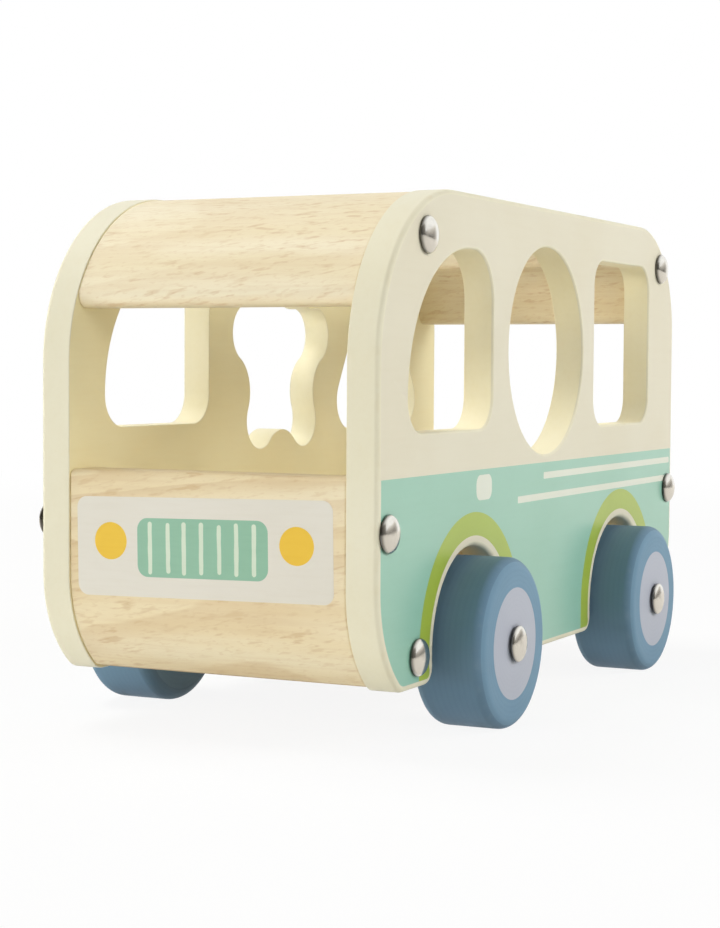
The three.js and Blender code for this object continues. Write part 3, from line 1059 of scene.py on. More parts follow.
@dataclass(frozen=True)
class WindowSet:
    """The shaped holes of the side panels."""

    shape: BodyShape
    front_pillar: float = 15.8 * MM
    door_pillar: float = 10.6 * MM
    door_sill: float = 73 * MM
    door_top_margin: float = 13.6 * MM
    door_rake_radius: float = 37 * MM
    door_rear_radius: float = 12 * MM
    door_sill_radius: float = 8 * MM
    circle_radius: float = 27.5 * MM
    circle_ahead: float = 2.8 * MM
    circle_top_margin: float = 10.4 * MM
    square_front_pillar: float = 9.2 * MM
    square_rear_pillar: float = 24.3 * MM
    square_sill: float = 71.8 * MM
    square_top_margin: float = 12 * MM
    square_corner: float = 7.5 * MM
    star_points: int = 5
    star_tip_distance: float = 21.8 * MM
    star_tip_radius: float = 7.8 * MM
    star_notch_distance: float = 20.3 * MM
    star_behind: float = 0.6 * MM
    star_top_margin: float = 10.4 * MM
    triangle_front_pillar: float = 6.2 * MM
    triangle_rear_pillar: float = 15.6 * MM
    triangle_sill: float = 69.2 * MM
    triangle_top_margin: float = 9 * MM
    triangle_corner: float = 8.8 * MM

    def of(self, side: Side) -> list[Outline]:
        """The holes of the panel on one side."""
        if side is Side.LEFT:
            return [as_hole(hole) for hole in (self.door(), self.circle(), self.square())]
        return [as_hole(hole) for hole in (self.door(), self.star(), self.triangle())]

    def door(self) -> Outline:
        """The raked window behind the windscreen pillar."""
        front = self.shape.nose + self.front_pillar
        rear = -self.circle_ahead - self.circle_radius - self.door_pillar
        top = self.shape.top - self.door_top_margin
        low = self.door_sill + self.door_sill_radius
        rake = min(self.door_rake_radius, top - low, rear - front - self.door_rear_radius)
        return [
            *arc((front + self.door_sill_radius, low), self.door_sill_radius, 180, 270),
            *arc((rear - self.door_sill_radius, low), self.door_sill_radius, 270, 360),
            *arc((rear - self.door_rear_radius, top - self.door_rear_radius), self.door_rear_radius, 0, 90),
            *arc((front + rake, top - rake), rake, 90, 180),
        ]

    def circle(self) -> Outline:
        """The round hole."""
        centre = (-self.circle_ahead, self.shape.top - self.circle_top_margin - self.circle_radius)
        return arc(centre, self.circle_radius, 0, 360)[1:]

    def square(self) -> Outline:
        """The square hole with soft corners."""
        front = -self.circle_ahead + self.circle_radius + self.square_front_pillar
        rear = -self.shape.nose - self.square_rear_pillar
        top = self.shape.top - self.square_top_margin
        return rounded_box((front, self.square_sill), (rear, top), self.square_corner)

    def star(self) -> Outline:
        """The star with round tips, each notch touching the two tips beside it."""
        reach = self.star_tip_distance + self.star_tip_radius
        centre = (self.star_behind, self.shape.top - self.star_top_margin - reach)
        half_step = 180 / self.star_points
        across = self.star_tip_distance * math.cos(math.radians(half_step))
        inner = self.star_notch_distance - self.star_tip_radius
        notch_distance = (self.star_tip_distance ** 2 - inner ** 2) / (2 * (across - inner))
        notch_radius = notch_distance - self.star_notch_distance
        to_notch = polar((-self.star_tip_distance, 0.0), notch_distance, half_step)
        half_tip = math.degrees(math.atan2(to_notch[1], to_notch[0]))
        half_notch = half_tip - half_step
        points: Outline = []
        for index in range(self.star_points):
            heading = 90 + 2 * half_step * index
            inward = heading + half_step + 180
            tip = polar(centre, self.star_tip_distance, heading)
            notch = polar(centre, notch_distance, heading + half_step)
            points += arc(tip, self.star_tip_radius, heading - half_tip, heading + half_tip)
            points += arc(notch, notch_radius, inward + half_notch, inward - half_notch)[1:-1]
        return points

    def triangle(self) -> Outline:
        """The three-cornered hole."""
        half_tip = math.radians(180 / self.star_points / 2)
        star_rear = self.star_behind + self.star_tip_distance * math.cos(half_tip) + self.star_tip_radius
        radius = self.triangle_corner
        front = star_rear + self.triangle_front_pillar + radius
        rear = -self.shape.nose - self.triangle_rear_pillar - radius
        low = self.triangle_sill + radius
        high = self.shape.top - self.triangle_top_margin - radius
        slope = math.degrees(math.atan2(high - low, (rear - front) / 2))
        return [
            *arc((front, low), radius, 90 + slope, 270),
            *arc((rear, low), radius, 270, 450 - slope),
            *arc(((front + rear) / 2, high), radius, 90 - slope, 90 + slope),
        ]


@dataclass(frozen=True)
class SidePrint:
    """The mint lower half of a panel with its lime arches, stripes and bare tag."""

    shape: BodyShape
    side: Side
    margin: float = 1.5 * MM
    arch_margin: float = 2.5 * MM
    top: float = 63 * MM
    arch_reach: float = 31.7 * MM
    stripe_width: float = 1.8 * MM
    upper_stripe: Spot = (102 * MM, 58.6 * MM)
    lower_stripe: Spot = (83.6 * MM, 53.1 * MM)
    stripe_stop: float = 2.6 * MM
    stripe_corner: float = 0.35 * MM
    tag_centre: Spot = (61 * MM, 58.5 * MM)
    tag_size: Spot = (10 * MM, 6.3 * MM)
    tag_corner: float = 2.4 * MM

    @cached_property
    def field(self) -> list[Spot]:
        """The border of the mint field."""
        nose = self.shape.lower_curve()
        low = [
            *spots(nose, self.margin),
            *self.arch_edge(End.FRONT),
            *self.arch_edge(End.REAR),
            *spots(end_for_end(nose), self.margin),
        ]
        return [*low, (low[-1][0], self.top), (low[0][0], self.top)]

    def arch_edge(self, end: End) -> list[Spot]:
        """The border of the print round a wheel arch, which eases away from the edge as it rises."""
        more = (self.arch_margin - self.margin) / self.shape.arch_corner
        return [
            point.inset(min(self.arch_margin, self.margin + more * (point.up - self.shape.bottom)))
            for point in self.shape.arch(end)
        ]

    def arch_border(self, end: End) -> list[Spot]:
        """The outer border of the lime band round a wheel arch, open at the bottom."""
        across, up = self.shape.axle(end)
        foot = self.shape.bottom + self.margin
        crown = spots(arc((across, up), self.arch_reach, 180, 0))
        return [(across - self.arch_reach, foot), *crown, (across + self.arch_reach, foot)]

    def stripes(self) -> list[list[Spot]]:
        """The borders of the two stripes."""
        nose, stop = self.shape.nose, -self.shape.nose - self.stripe_stop
        return [
            spots(rounded_box((nose + start, low), (stop, low + self.stripe_width), self.stripe_corner))
            for start, low in (self.upper_stripe, self.lower_stripe)
        ]

    def tag(self) -> list[Spot]:
        """The border of the small white tag."""
        across, up = self.shape.nose + self.tag_centre[0], self.tag_centre[1]
        half, rise = self.tag_size[0] / 2, self.tag_size[1] / 2
        return spots(rounded_box((across - half, up - rise), (across + half, up + rise), self.tag_corner))

    @cached_property
    def marks(self) -> list[list[Spot]]:
        """The white shapes on the mint field; the tag is on the left side only."""
        return [*self.stripes(), self.tag()] if self.side is Side.LEFT else self.stripes()

    def lines(self) -> list[list[Spot]]:
        """Every border to cut along."""
        closed = [self.field, *self.marks]
        return [*([*line, line[0]] for line in closed), *(self.arch_border(end) for end in End)]

    def coat_at(self, across: float, up: float) -> int:
        """The coat at a place on the outer face.

        Args:
            across: Y of the place.
            up: Its height.

        Returns:
            The number of the coat.
        """
        if not holds(self.field, across, up):
            return PanelCoat.CREAM.value
        if any(holds(mark, across, up) for mark in self.marks):
            return PanelCoat.WHITE.value
        for end in End:
            axle_y, axle_z = self.shape.axle(end)
            if math.hypot(across - axle_y, max(up - axle_z, 0.0)) < self.arch_reach:
                return PanelCoat.LIME.value
        return PanelCoat.MINT.value


@dataclass(frozen=True)
class SidePanel:
    """A printed side panel with its shaped holes."""

    shape: BodyShape
    windows: WindowSet
    side: Side
    outer_round: float = 1.2 * MM
    inner_round: float = 0.25 * MM
    hole_round: float = 0.6 * MM

    def build(self) -> bpy.types.Object:
        """Cut the panel, paint it and tie it to the body.

        Returns:
            The panel.
        """
        node = f"{self.side.label}_side_panel"
        low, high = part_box(node)
        prints = SidePrint(self.shape, self.side)

        def coat_at(face: Side, across: float, up: float) -> int:
            """The print outside and plain paint inside."""
            return prints.coat_at(across, up) if face is self.side else PanelCoat.INSIDE.value

        rounds = {side: self.outer_round if side is self.side else self.inner_round for side in Side}
        holes = {side: self.hole_round if side is self.side else self.inner_round for side in Side}
        cut = BoardCut(
            low.x, high.x, rounds, hole_coat=PanelCoat.REVEAL.value, shown=self.side, hole_rounds=holes,
        )
        loops = [self.shape.outline(), *self.windows.of(self.side)]
        draft = cut.draft(loops, {self.side: prints.lines()}, coat_at)
        # The right panel's inside has the yellower cream of painted bounce light in the cabin; the left
        # panel's inside faces the strongest lamps, so it has the less bright coat.
        inside = INSIDE_BOUNCE_CREAM if self.side is Side.RIGHT else CREAM
        # The edge and reveal coats, and the right panel's inside, are lit copies of the cream: painted light.
        finishes = (EDGE_LIT_CREAM, CREAM, MINT, LIME, WHITE, inside, REVEAL_LIT_CREAM)
        piece = draft.piece(f"{self.side.label}_panel", finishes)
        return dress(piece, "van_body", "cream_paint", node)


def plain(_side: Side, _across: float, _up: float) -> int:
    """The only coat of a piece that has one."""
    return 0


@dataclass(frozen=True)
class CrossPiece:
    """A beech piece that joins the two panels at one end of the van."""

    shape: BodyShape
    end: End
    inset: float = 0.3 * MM
    closed: float = 0.17 * MM
    round_over: float = 0.6 * MM
    node_word: ClassVar[str]
    piece_word: ClassVar[str]
    wood: ClassVar[Timber]

    @property
    def node(self) -> str:
        """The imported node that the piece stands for."""
        return f"{self.end.label}_{self.node_word}"

    def outline(self) -> Outline:
        """The section, as for the front end, which each kind gives."""
        raise NotImplementedError

    def build(self) -> bpy.types.Object:
        """Cut the piece and tie it to the body.

        Returns:
            The piece.
        """
        low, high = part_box(self.node)
        outline = self.outline() if self.end is End.FRONT else end_for_end(self.outline())
        cut = BoardCut(low.x - self.closed, high.x + self.closed, dict.fromkeys(Side, self.round_over))
        piece = cut.draft([outline], {}, plain).piece(f"{self.end.label}_{self.piece_word}", (self.wood,))
        return dress(piece, "van_body", "beech", self.node)


@dataclass(frozen=True)
class RoofRail(CrossPiece):
    """A curved beech rail between the panels' top corners."""

    node_word: ClassVar[str] = "roof_rail"
    piece_word: ClassVar[str] = "rail"
    wood: ClassVar[Timber] = RAIL_BEECH
    round_over: float = 0.35 * MM
    thickness: float = 11.5 * MM
    flat: float = 4 * MM
    lower_round: float = 3 * MM
    upper_round: float = 1.6 * MM

    def outline(self) -> Outline:
        """The rail's section, as for the front end."""
        node_low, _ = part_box(self.node)
        radius = self.shape.front_top_radius if self.end is End.FRONT else self.shape.rear_top_radius
        centre = (self.shape.nose + radius, self.shape.top - radius)
        outer, inner = radius - self.inset, radius - self.inset - self.thickness
        low = node_low.z + self.lower_round
        rise = low - centre[1]
        front = (centre[0] - math.sqrt((outer - self.lower_round) ** 2 - rise ** 2), low)
        back = (centre[0] - math.sqrt((inner + self.lower_round) ** 2 - rise ** 2), low)
        front_turn = math.degrees(math.atan2(rise, front[0] - centre[0]))
        back_turn = math.degrees(math.atan2(rise, back[0] - centre[0]))
        stop = centre[0] + self.flat - self.upper_round
        return [
            *arc(centre, outer, 90, front_turn),
            *arc(front, self.lower_round, front_turn, 270)[1:],
            *arc(back, self.lower_round, 270, 180 + back_turn),
            *arc(centre, inner, back_turn, 90)[1:],
            *arc((stop, centre[1] + inner + self.upper_round), self.upper_round, 270, 360),
            *arc((stop, centre[1] + outer - self.upper_round), self.upper_round, 0, 90),
        ]


@dataclass(frozen=True)
class Fascia(CrossPiece):
    """An upright beech board whose lower edge follows the panels' curve."""

    node_word: ClassVar[str] = "fascia"
    piece_word: ClassVar[str] = "board"
    wood: ClassVar[Timber] = FASCIA_BEECH
    top_round: float = 1.8 * MM
    heel_round: float = 0.8 * MM

    def outline(self) -> Outline:
        """The board's section, as for the front end."""
        low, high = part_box("front_fascia")
        long_centre, tight_centre = self.shape.lower_centres()
        corner = self.shape.lower_corner - self.inset
        joint = 180 + self.shape.lower_degrees
        heel_y = high.y - self.heel_round
        drop = math.sqrt((corner - self.heel_round) ** 2 - (tight_centre[0] - heel_y) ** 2)
        heel = (heel_y, tight_centre[1] - drop)
        heel_turn = 180 + math.degrees(math.atan2(drop, tight_centre[0] - heel_y))
        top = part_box(self.node)[1].z - self.top_round
        return [
            *arc(long_centre, self.shape.lower_radius - self.inset, 180, joint),
            *arc(tight_centre, corner, joint, heel_turn)[1:],
            *arc(heel, self.heel_round, heel_turn, 360)[1:],
            *arc((high.y - self.top_round, top), self.top_round, 0, 90),
            *arc((low.y + self.top_round, top), self.top_round, 90, 180),
        ]

    def front_at(self, up: float) -> tuple[float, float]:
        """The front face at a height.

        Args:
            up: The height.

        Returns:
            Y of the face and the angle by which it leans under, in radians.
        """
        (long_y, long_z), _ = self.shape.lower_centres()
        radius = self.shape.lower_radius - self.inset
        lean = math.asin(max(long_z - up, 0.0) / radius)
        return long_y - radius * math.cos(lean), lean


@dataclass(frozen=True)
class FrontPrint:
    """The paint film on the front fascia: a pale panel, grille bars and two headlamps."""

    fascia: Fascia
    middle: float = -0.4 * MM
    tilt: float = 0.017
    half_width: float = 34.2 * MM
    low: float = 34.0 * MM
    high: float = 57.6 * MM
    corner: float = 2.6 * MM
    grille_half: float = 17.5 * MM
    grille_low: float = 38.8 * MM
    grille_high: float = 52.7 * MM
    grille_corner: float = 2.8 * MM
    bars: int = 7
    bar_pitch: float = 4.65 * MM
    bar_width: float = 1.15 * MM
    bar_low: float = 40.1 * MM
    bar_high: float = 51.3 * MM
    bar_rows: int = 7
    bar_seed: int = 7
    bar_shift: Spot = (-0.2, 0.2)
    bar_foot: Spot = (-0.3, 0.7)
    bar_head: Spot = (-0.4, 0.2)
    bar_sway: Spot = (-0.05, 0.05)
    bar_swell: Spot = (0.9, 1.06)
    lamp_reach: float = 24.9 * MM
    lamp_height: float = 47.1 * MM
    lamp_radius: float = 4.45 * MM
    film: float = 0.04 * MM
    curve_rows: tuple[float, ...] = (36.7 * MM, 37.5 * MM, 38.3 * MM, 39.1 * MM)

    @property
    def span(self) -> Spot:
        """X of the film's two ends."""
        return self.middle - self.half_width, self.middle + self.half_width

    def tilted(self, across: float, up: float) -> Spot:
        """A place of the drawing on the board, where the film sits a little askew."""
        reach, rise = across - self.middle, up - (self.low + self.high) / 2
        return across - self.tilt * rise, up + self.tilt * reach

    def bar_shapes(self) -> list[list[Spot]]:
        """The grille bars, each a little uneven as if brushed by hand."""
        draw = random.Random(self.bar_seed)
        shapes = []
        for index in range(self.bars):
            middle = self.middle + (index - (self.bars - 1) / 2) * self.bar_pitch
            across = middle + draw.uniform(*self.bar_shift) * MM
            low = self.bar_low + draw.uniform(*self.bar_foot) * MM
            high = self.bar_high + draw.uniform(*self.bar_head) * MM
            heights = [low + (high - low) * row / (self.bar_rows - 1) for row in range(self.bar_rows)]
            sway = [draw.uniform(*self.bar_sway) * MM for _ in heights]
            halves = [self.bar_width / 2 * draw.uniform(*self.bar_swell) for _ in heights]
            left = [(across + s - h, up) for s, h, up in zip(sway, halves, heights)]
            right = [(across + s + h, up) for s, h, up in zip(sway, halves, heights)]
            foot = spots(arc((across + sway[0], low), halves[0], 180, 360))
            head = spots(arc((across + sway[-1], high), halves[-1], 0, 180))
            shapes.append([*foot, *right[1:-1], *head, *reversed(left[1:-1])])
        return shapes

    def border(self) -> Outline:
        """The edge of the film, with points where it bends under the curve."""
        left, right = self.span
        low, high = self.low + self.corner, self.high - self.corner
        return [
            *arc((left + self.corner, low), self.corner, 180, 270),
            *arc((right - self.corner, low), self.corner, 270, 360),
            *(EdgePoint(right, up, 1.0, 0.0) for up in self.curve_rows),
            *arc((right - self.corner, high), self.corner, 0, 90),
            *arc((left + self.corner, high), self.corner, 90, 180),
            *(EdgePoint(left, up, -1.0, 0.0) for up in reversed(self.curve_rows)),
        ]

    def shapes(self) -> list[tuple[PrintCoat, list[Spot]]]:
        """Every shape on the pale panel, those on top first."""
        lamp_spots = [(self.middle + way * self.lamp_reach, self.lamp_height) for way in (-1, 1)]
        lamps = [(PrintCoat.LAMP, spots(arc(spot, self.lamp_radius, 0, 360)[1:])) for spot in lamp_spots]
        bars = [(PrintCoat.BAR, shape) for shape in self.bar_shapes()]
        low = self.middle - self.grille_half, self.grille_low
        high = self.middle + self.grille_half, self.grille_high
        return [*lamps, *bars, (PrintCoat.GRILLE, spots(rounded_box(low, high, self.grille_corner)))]

    def build(self) -> bpy.types.Object:
        """Lay the film on the fascia and tie it to the body.

        Returns:
            The film.
        """
        draft = Draft()
        left, right = self.span
        border = self.border()
        shapes = self.shapes()
        area = spots(border)

        def lift(across: float, up: float) -> tuple[Triple, Triple]:
            """The film's point at a place of the front view, and its normal."""
            side, high = self.tilted(across, up)
            y, lean = self.fascia.front_at(high)
            normal = (0.0, -math.cos(lean), -math.sin(lean))
            return (side, y + self.film * normal[1], high + self.film * normal[2]), normal

        def coat_at(across: float, up: float) -> Optional[int]:
            """The coat at a place, or None off the film."""
            if not holds(area, across, up):
                return None
            on_top = (coat for coat, shape in shapes if holds(shape, across, up))
            return next(on_top, PrintCoat.WHITE).value

        ring = [draft.point(*lift(p.across, p.up)) for p in border]
        foot = []
        for p in border:
            side, high = self.tilted(p.across, p.up)
            y, _ = self.fascia.front_at(high)
            foot.append(draft.point((side, y + self.film, high), (p.out_across, 0.0, p.out_up)))
        draft.loft(foot, ring)
        lines = [[*shape, shape[0]] for _, shape in shapes]
        lines += [[(left, up), (right, up)] for up in self.curve_rows]
        foot_row = self.low + self.corner / 2
        lines.append([(left + self.corner, foot_row), (right - self.corner, foot_row)])
        draft.sheet([area], [ring], lines, coat_at, lift)
        piece = draft.piece("front_print", (FACE_WHITE, GRILLE, BAR, LAMP))
        return dress(piece, "van_body", "cream_paint")


@dataclass(frozen=True)
class BaseBoard:
    """The floor of the van, bored for the axles."""

    shape: BodyShape
    bore: float = 2.6 * MM
    edge: float = 1.2 * MM
    round_over: float = 0.6 * MM
    round_steps: int = 3

    def build(self) -> bpy.types.Object:
        """Cut the board and tie it to the body.

        Returns:
            The board.
        """
        low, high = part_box("base_board")
        bores = [as_hole(arc(self.shape.axle(end), self.bore, 0, 360)[1:]) for end in End]
        outline = rounded_box((low.y, low.z), (high.y, high.z), self.edge)
        cut = BoardCut(low.x, high.x, dict.fromkeys(Side, self.round_over), self.round_steps)
        piece = cut.draft([outline, *bores], {}, plain).piece("floor_board", (FLOOR_BEECH,))
        return dress(piece, "van_body", "base_beech", "base_board")


def dome(radius: float, rim: float, height: float, lip: float) -> Outline:
    """The upper section of a domed head, from its foot to its top.

    Args:
        radius: The head's radius.
        rim: Height of the upright rim under the dome.
        height: Height of the dome above the rim.
        lip: Radius of the soft corner at the foot.

    Returns:
        Radius and height points, with the material towards the axis.
    """
    crown = []
    for step in range(DOME_STEPS):
        turn = math.radians(90 * step / DOME_STEPS)
        across, up = math.cos(turn), math.sin(turn)
        normal = Vector((across / radius, up / height)).normalized()
        crown.append(EdgePoint(radius * across, rim + height * up, normal.x, normal.y))
    return [*arc((radius - lip, lip), lip, 270, 360), *crown, EdgePoint(0.0, rim + height, 0.0, 1.0)]


@dataclass(frozen=True)
class DomePin:
    """A dome-headed pin through a panel into a cross piece."""

    node: str
    side: Side
    rim: float = 0.3 * MM
    lip: float = 0.28 * MM
    shank_radius: float = 1.8 * MM
    point: float = 1.2 * MM
    head_height: float = 2.3 * MM

    def build(self) -> bpy.types.Object:
        """Turn the pin, set it in its place and tie it to the body.

        Returns:
            The pin.
        """
        low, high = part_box(self.node)
        radius = (high.z - low.z) / 2
        reach = high.x - low.x - self.head_height
        section = [
            EdgePoint(0.0, -reach, 0.0, -1.0),
            EdgePoint(self.shank_radius, self.point - reach, 0.7, -0.7),
            EdgePoint(self.shank_radius, 0.0, 1.0, 0.0),
            EdgePoint(self.shank_radius, 0.0, 0.0, -1.0),
            *dome(radius, self.rim, self.head_height - self.rim, self.lip),
        ]
        piece = Turning(section).piece(self.node.replace("_pin", "_dome"), (NICKEL,))
        seat = high.x - self.head_height if self.side is Side.LEFT else low.x + self.head_height
        stand(piece, (seat, (low.y + high.y) / 2, (low.z + high.z) / 2), self.side)
        return dress(piece, "van_body", "bright_nickel", self.node)


def stand(piece: bpy.types.Object, place: Sequence[float], side: Side) -> None:
    """Put a turned piece in its place, facing out of its side."""
    turn = Matrix.Rotation(math.pi, 4, "Z") if side is Side.RIGHT else Matrix.Identity(4)
    piece.matrix_world = Matrix.Translation(Vector(place)) @ turn


@dataclass(frozen=True)
class AxleSet:
    """An axle with its two wheels and domed caps."""

    shape: BodyShape
    end: End
    bore: float = 2.75 * MM
    edge_round: float = 3 * MM
    disc_radius: float = 13.7 * MM
    cap_rim: float = 0.6 * MM
    cap_height: float = 2 * MM
    cap_lip: float = 0.4 * MM
    cap_bore: float = 2.6 * MM
    cap_bore_depth: float = 1.1 * MM
    rod_chamfer: float = 0.4 * MM

    def build(self) -> None:
        """Make the rod, the wheels and the caps."""
        self.rod()
        for side in Side:
            self.wheel(side)
            self.cap(side)

    def wheel(self, side: Side) -> bpy.types.Object:
        """Turn a wheel, with its paler disc on the outer face.

        Args:
            side: The side of the van it is on.

        Returns:
            The wheel.
        """
        node = f"{self.end.label}_{side.label}_wheel"
        low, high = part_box(node)
        width, radius, edge = high.x - low.x, self.shape.wheel_radius, self.edge_round
        shoulder = radius - edge
        inner, outer = arc((shoulder, edge), edge, 270, 360), arc((shoulder, width - edge), edge, 0, 90)
        blue = [EdgePoint(self.bore, 0.0, 0.0, -1.0), *inner, *outer]
        tread = len(inner) + len(outer) // 2
        disc = [EdgePoint(self.disc_radius, width, 0.0, 1.0), EdgePoint(self.bore, width, 0.0, 1.0)]
        bore = [EdgePoint(self.bore, width, -1.0, 0.0), EdgePoint(self.bore, 0.0, -1.0, 0.0)]
        # The inner round-over, the tread and half the outer round-over take the darker blue: painted shade.
        coats = [
            WheelCoat.BLUE.value,
            *[WheelCoat.TREAD.value] * tread,
            *[WheelCoat.BLUE.value] * (len(blue) - tread - 1),
            *[WheelCoat.DISC.value] * 2,
            *[WheelCoat.BLUE.value] * 2,
        ]
        turning = Turning([*blue, *disc, *bore], coats, TURNED_SIDES)
        piece = turning.piece(node.replace("wheel", "turned_wheel"), (WHEEL_BLUE, WHEEL_DISC, SHADED_TREAD_BLUE))
        stand(piece, (low.x if side is Side.LEFT else high.x, *self.shape.axle(self.end)), side)
        return dress(piece, f"{self.end.label}_{side.label}_roller", "blue_paint", node)

    def cap(self, side: Side) -> bpy.types.Object:
        """Turn the domed cap that closes the axle.

        Args:
            side: The side of the van it is on.

        Returns:
            The cap.
        """
        node = f"{self.end.label}_{side.label}_axle_cap"
        low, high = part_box(node)
        radius = (high.z - low.z) / 2
        section = [
            EdgePoint(0.0, self.cap_bore_depth, 0.0, -1.0),
            EdgePoint(self.cap_bore, self.cap_bore_depth, 0.0, -1.0),
            EdgePoint(self.cap_bore, self.cap_bore_depth, -1.0, 0.0),
            EdgePoint(self.cap_bore, 0.0, -1.0, 0.0),
            EdgePoint(self.cap_bore, 0.0, 0.0, -1.0),
            *dome(radius, self.cap_rim, self.cap_height - self.cap_rim, self.cap_lip),
        ]
        piece = Turning(section).piece(node.replace("axle_cap", "domed_cap"), (NICKEL,))
        stand(piece, (low.x if side is Side.LEFT else high.x, *self.shape.axle(self.end)), side)
        return dress(piece, "van_body", "bright_nickel", node)

    def rod(self) -> bpy.types.Object:
        """Turn the axle rod.

        Returns:
            The rod.
        """
        node = f"{self.end.label}_axle"
        low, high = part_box(node)
        radius, length, cut = (high.z - low.z) / 2, high.x - low.x, self.rod_chamfer
        section = [
            EdgePoint(0.0, 0.0, 0.0, -1.0),
            EdgePoint(radius - cut, 0.0, 0.3, -0.95),
            EdgePoint(radius, cut, 1.0, 0.0),
            EdgePoint(radius, length - cut, 1.0, 0.0),
            EdgePoint(radius - cut, length, 0.3, 0.95),
            EdgePoint(0.0, length, 0.0, 1.0),
        ]
        piece = Turning(section).piece(f"{self.end.label}_rod", (STEEL,))
        stand(piece, (low.x, *self.shape.axle(self.end)), Side.LEFT)
        return dress(piece, "van_body", "axle_steel", node)


@dataclass(frozen=True)
class SoftBox:
    """A large soft lamp that no gloss reflects."""

    name: str
    place: Triple
    size: Spot
    power: float
    aim: Triple = VAN_MIDDLE

    def hang(self) -> None:
        """Add the lamp to the scene."""
        light = bpy.data.lights.new(self.name, "AREA")
        light.shape = "RECTANGLE"
        light.size, light.size_y = self.size
        light.energy = self.power
        lamp = bpy.data.objects.new(self.name, light)
        lamp.visible_glossy = False
        lamp.location = self.place
        lamp.rotation_euler = (Vector(self.aim) - Vector(self.place)).to_track_quat("-Z", "Y").to_euler()
        bpy.context.scene.collection.objects.link(lamp)


FIBRE = Texture(900.0, 3.0)
WEAVE = Texture(60.0, 3.0)


@dataclass(frozen=True)
class FloorSheet(Finish):
    """A pale studio floor that fades into the white background and keeps a soft shadow."""

    colour: str = "f4f4f2"
    thread: str = "eeeeea"
    shadow_share: float = 0.1
    fade_from: float = 0.35
    fade_to: float = 1.1

    def shader(self, graph: Graph) -> Field:
        """White to the eye and to gloss far out, lit paper near the van.

        Args:
            graph: The material's graph.

        Returns:
            The finished shader.
        """
        place = graph.place()
        distance = graph.distance(graph.along(place, "X"), graph.along(place, "Y"))
        fibre = graph.noise(place, FIBRE)
        paper = graph.blend(fibre * 0.3, linear(self.colour), linear(self.thread))
        lit = graph.node("ShaderNodeBsdfPrincipled", None, {
            "Base Color": paper,
            "Roughness": 0.8 + 0.1 * (fibre - 0.5),
            "Specular IOR Level": 0.1,
        })
        glow = graph.node("ShaderNodeEmission", None, {"Color": WHITE_LIGHT, "Strength": 1.0})
        far = distance.rising(self.fade_from, self.fade_to)
        share = seen(graph) * (1.0 - (1.0 - far) * self.shadow_share)
        return graph.node("ShaderNodeMixShader", None, {0: share, 1: lit, 2: glow})


def seen(graph: Graph) -> Field:
    """1 for a ray from the camera or by way of gloss or glass, and 0 for the light on the object."""
    rays = [
        graph.node("ShaderNodeLightPath", None, None, name)
        for name in ("Is Camera Ray", "Is Glossy Ray", "Is Transmission Ray")
    ]
    return graph.math("MINIMUM", rays[0] + rays[1] + rays[2], 1.0)


@dataclass(frozen=True)
class CardCloth(Finish):
    """Cloth on a studio card, graded between its corners."""

    dark: str
    light: str

    def shader(self, graph: Graph) -> Field:
        """A glow that follows the corners' brightness, with a faint weave."""
        weave = graph.noise(graph.place(), WEAVE)
        glow = graph.blend(graph.rim() * (0.94 + 0.12 * weave), linear(self.dark), linear(self.light))
        return graph.node("ShaderNodeBsdfPrincipled", None, {
            "Base Color": linear(self.dark),
            "Roughness": 0.9,
            "Emission Color": glow,
            "Emission Strength": 1.0,
        })


CARD_CLOTH = CardCloth("card_cloth", "14120f", "fff9f0")


@dataclass(frozen=True)
class Card:
    """A pair of studio cards, left and right, that only bright metal and satin paint reflect.

    Each corner has a place and a brightness.
    """

    name: str
    corners: tuple[Corner, ...]

    def hang(self) -> None:
        """Add the two cards to the scene, out of the camera's and the lamps' way."""
        for side, way in (("left", 1.0), ("right", -1.0)):
            draft = Draft()
            places = [Vector((way * x, y, z)) for x, y, z, _ in self.corners]
            normal = (places[1] - places[0]).cross(places[2] - places[1])
            draft.face([draft.point(place, normal, corner[3]) for place, corner in zip(places, self.corners)])
            card = draft.piece(f"{side}_{self.name}", (CARD_CLOTH,))
            card.visible_camera = card.visible_diffuse = False
            card.visible_shadow = card.visible_transmission = False


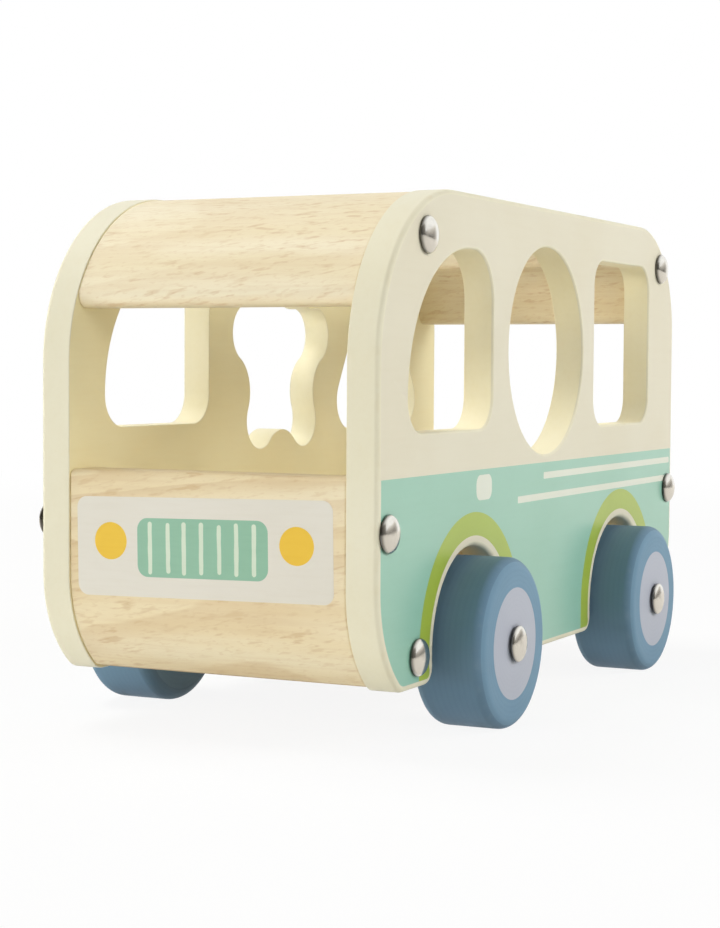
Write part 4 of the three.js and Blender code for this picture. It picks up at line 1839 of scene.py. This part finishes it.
@dataclass(frozen=True)
class Studio:
    """Floor, lamps, cards, world and camera."""

    focal_pixels: float = 2041.48
    frame_pixels: float = 928
    sensor: float = 36.0
    nearest: float = 0.01
    eye: Triple = (0.239904, -0.514174, 0.088762)
    yaw: float = 0.4554432
    pitch: float = 0.0487344
    roll: float = -0.005857
    floor_radius: float = 4.0
    sky: float = 0.12
    lamps: ClassVar[tuple[SoftBox, ...]] = (
        SoftBox("key_lamp", (-0.65, 0.0, 1.3), (0.7, 0.7), 13.0),
        SoftBox("front_lamp", (-0.5, -1.4, 0.45), (0.7, 0.3), 6.0),
        SoftBox("side_lamp", (1.1, 0.5, 0.55), (0.85, 0.4), 7.9),
        SoftBox("fill_lamp", (1.1, -0.75, 0.6), (0.8, 0.4), 3.6),
        SoftBox("low_lamp", (-1.2, -0.5, 0.05), (0.5, 0.09), 6.5, (0.0, 0.0, 0.0)),
    )
    cards: ClassVar[tuple[Card, ...]] = (
        Card("near_card", (
            (0.0, -1.9, 0.0, 0.1), (2.0, -0.4, 0.0, 0.04), (2.0, -0.4, 2.0, 0.35), (0.0, -1.9, 2.0, 0.3),
        )),
        Card("mid_card", (
            (2.0, -0.4, 0.0, 0.05), (1.25, 1.0, 0.0, 0.0), (1.25, 1.0, 0.5, 0.8), (2.0, -0.4, 0.5, 0.4),
        )),
        Card("far_card", (
            (1.25, 1.0, 0.0, 0.0), (1.0, 2.2, 0.0, 0.5), (1.0, 2.2, 0.8, 0.9), (1.25, 1.0, 0.5, 0.8),
        )),
        Card("floor_card", (
            (0.05, -1.2, MM, 0.58), (2.2, -1.2, MM, 0.58), (2.2, 2.5, MM, 0.95), (0.05, 2.5, MM, 0.95),
        )),
    )

    def set_up(self) -> None:
        """Lay the floor, hang the lamps and cards, light the world and place the camera."""
        self.lay_floor()
        for fitting in (*self.lamps, *self.cards):
            fitting.hang()
        self.light_world()
        self.place_camera()
        bpy.context.scene.view_settings.view_transform = "Standard"

    def lay_floor(self) -> None:
        """Lay a round floor under the wheels."""
        draft = Draft()
        turns = (360 * side / TURNED_SIDES for side in range(TURNED_SIDES))
        draft.face([draft.point((*polar((0.0, 0.0), self.floor_radius, turn), 0.0), UP) for turn in turns])
        draft.piece("studio_floor", (FloorSheet("floor_paper"),))

    def light_world(self) -> None:
        """Light the object evenly, with a white background behind it."""
        world = bpy.data.worlds.new("studio_world")
        world.use_nodes = True
        bpy.context.scene.world = world
        graph = Graph(world.node_tree)
        soft = graph.node("ShaderNodeBackground", None, {"Color": WHITE_LIGHT, "Strength": self.sky})
        back = graph.node("ShaderNodeBackground", None, {"Color": WHITE_LIGHT, "Strength": 1.0})
        mixed = graph.node("ShaderNodeMixShader", None, {0: seen(graph), 1: soft, 2: back})
        graph.close(mixed, "ShaderNodeOutputWorld")

    def place_camera(self) -> None:
        """Stand the camera where the photograph was taken from."""
        lens = bpy.data.cameras.new("view_camera")
        lens.sensor_width = self.sensor
        lens.lens = self.focal_pixels * self.sensor / self.frame_pixels
        lens.clip_start = self.nearest
        camera = bpy.data.objects.new("view_camera", lens)
        level = math.cos(self.pitch)
        ahead = Vector((-math.sin(self.yaw) * level, math.cos(self.yaw) * level, -math.sin(self.pitch)))
        right = Vector((math.cos(self.yaw), math.sin(self.yaw), 0.0))
        down = ahead.cross(right)
        tilt, hold = math.sin(self.roll), math.cos(self.roll)
        right, down = hold * right + tilt * down, hold * down - tilt * right
        turn = Matrix((right, -down, -ahead)).transposed()
        camera.matrix_world = Matrix.Translation(Vector(self.eye)) @ turn.to_4x4()
        bpy.context.scene.collection.objects.link(camera)
        bpy.context.scene.camera = camera


def pins() -> list[DomePin]:
    """The twelve dome-headed pins."""
    places = [f"{end.label}_{row}" for end in End for row in ("roof", "fascia", "base")]
    return [DomePin(f"{side.label}_{place}_pin", side) for side in Side for place in places]


def main() -> None:
    """Build the van and its studio in order."""
    logging.basicConfig(level=logging.INFO, format="%(name)s: %(message)s")
    shape = BodyShape()
    windows = WindowSet(shape)
    for side in Side:
        SidePanel(shape, windows, side).build()
    for end in End:
        RoofRail(shape, end).build()
        Fascia(shape, end).build()
        AxleSet(shape, end).build()
    FrontPrint(Fascia(shape, End.FRONT)).build()
    BaseBoard(shape).build()
    for pin in pins():
        pin.build()
    Studio().set_up()


if __name__ == "__main__":
    main()
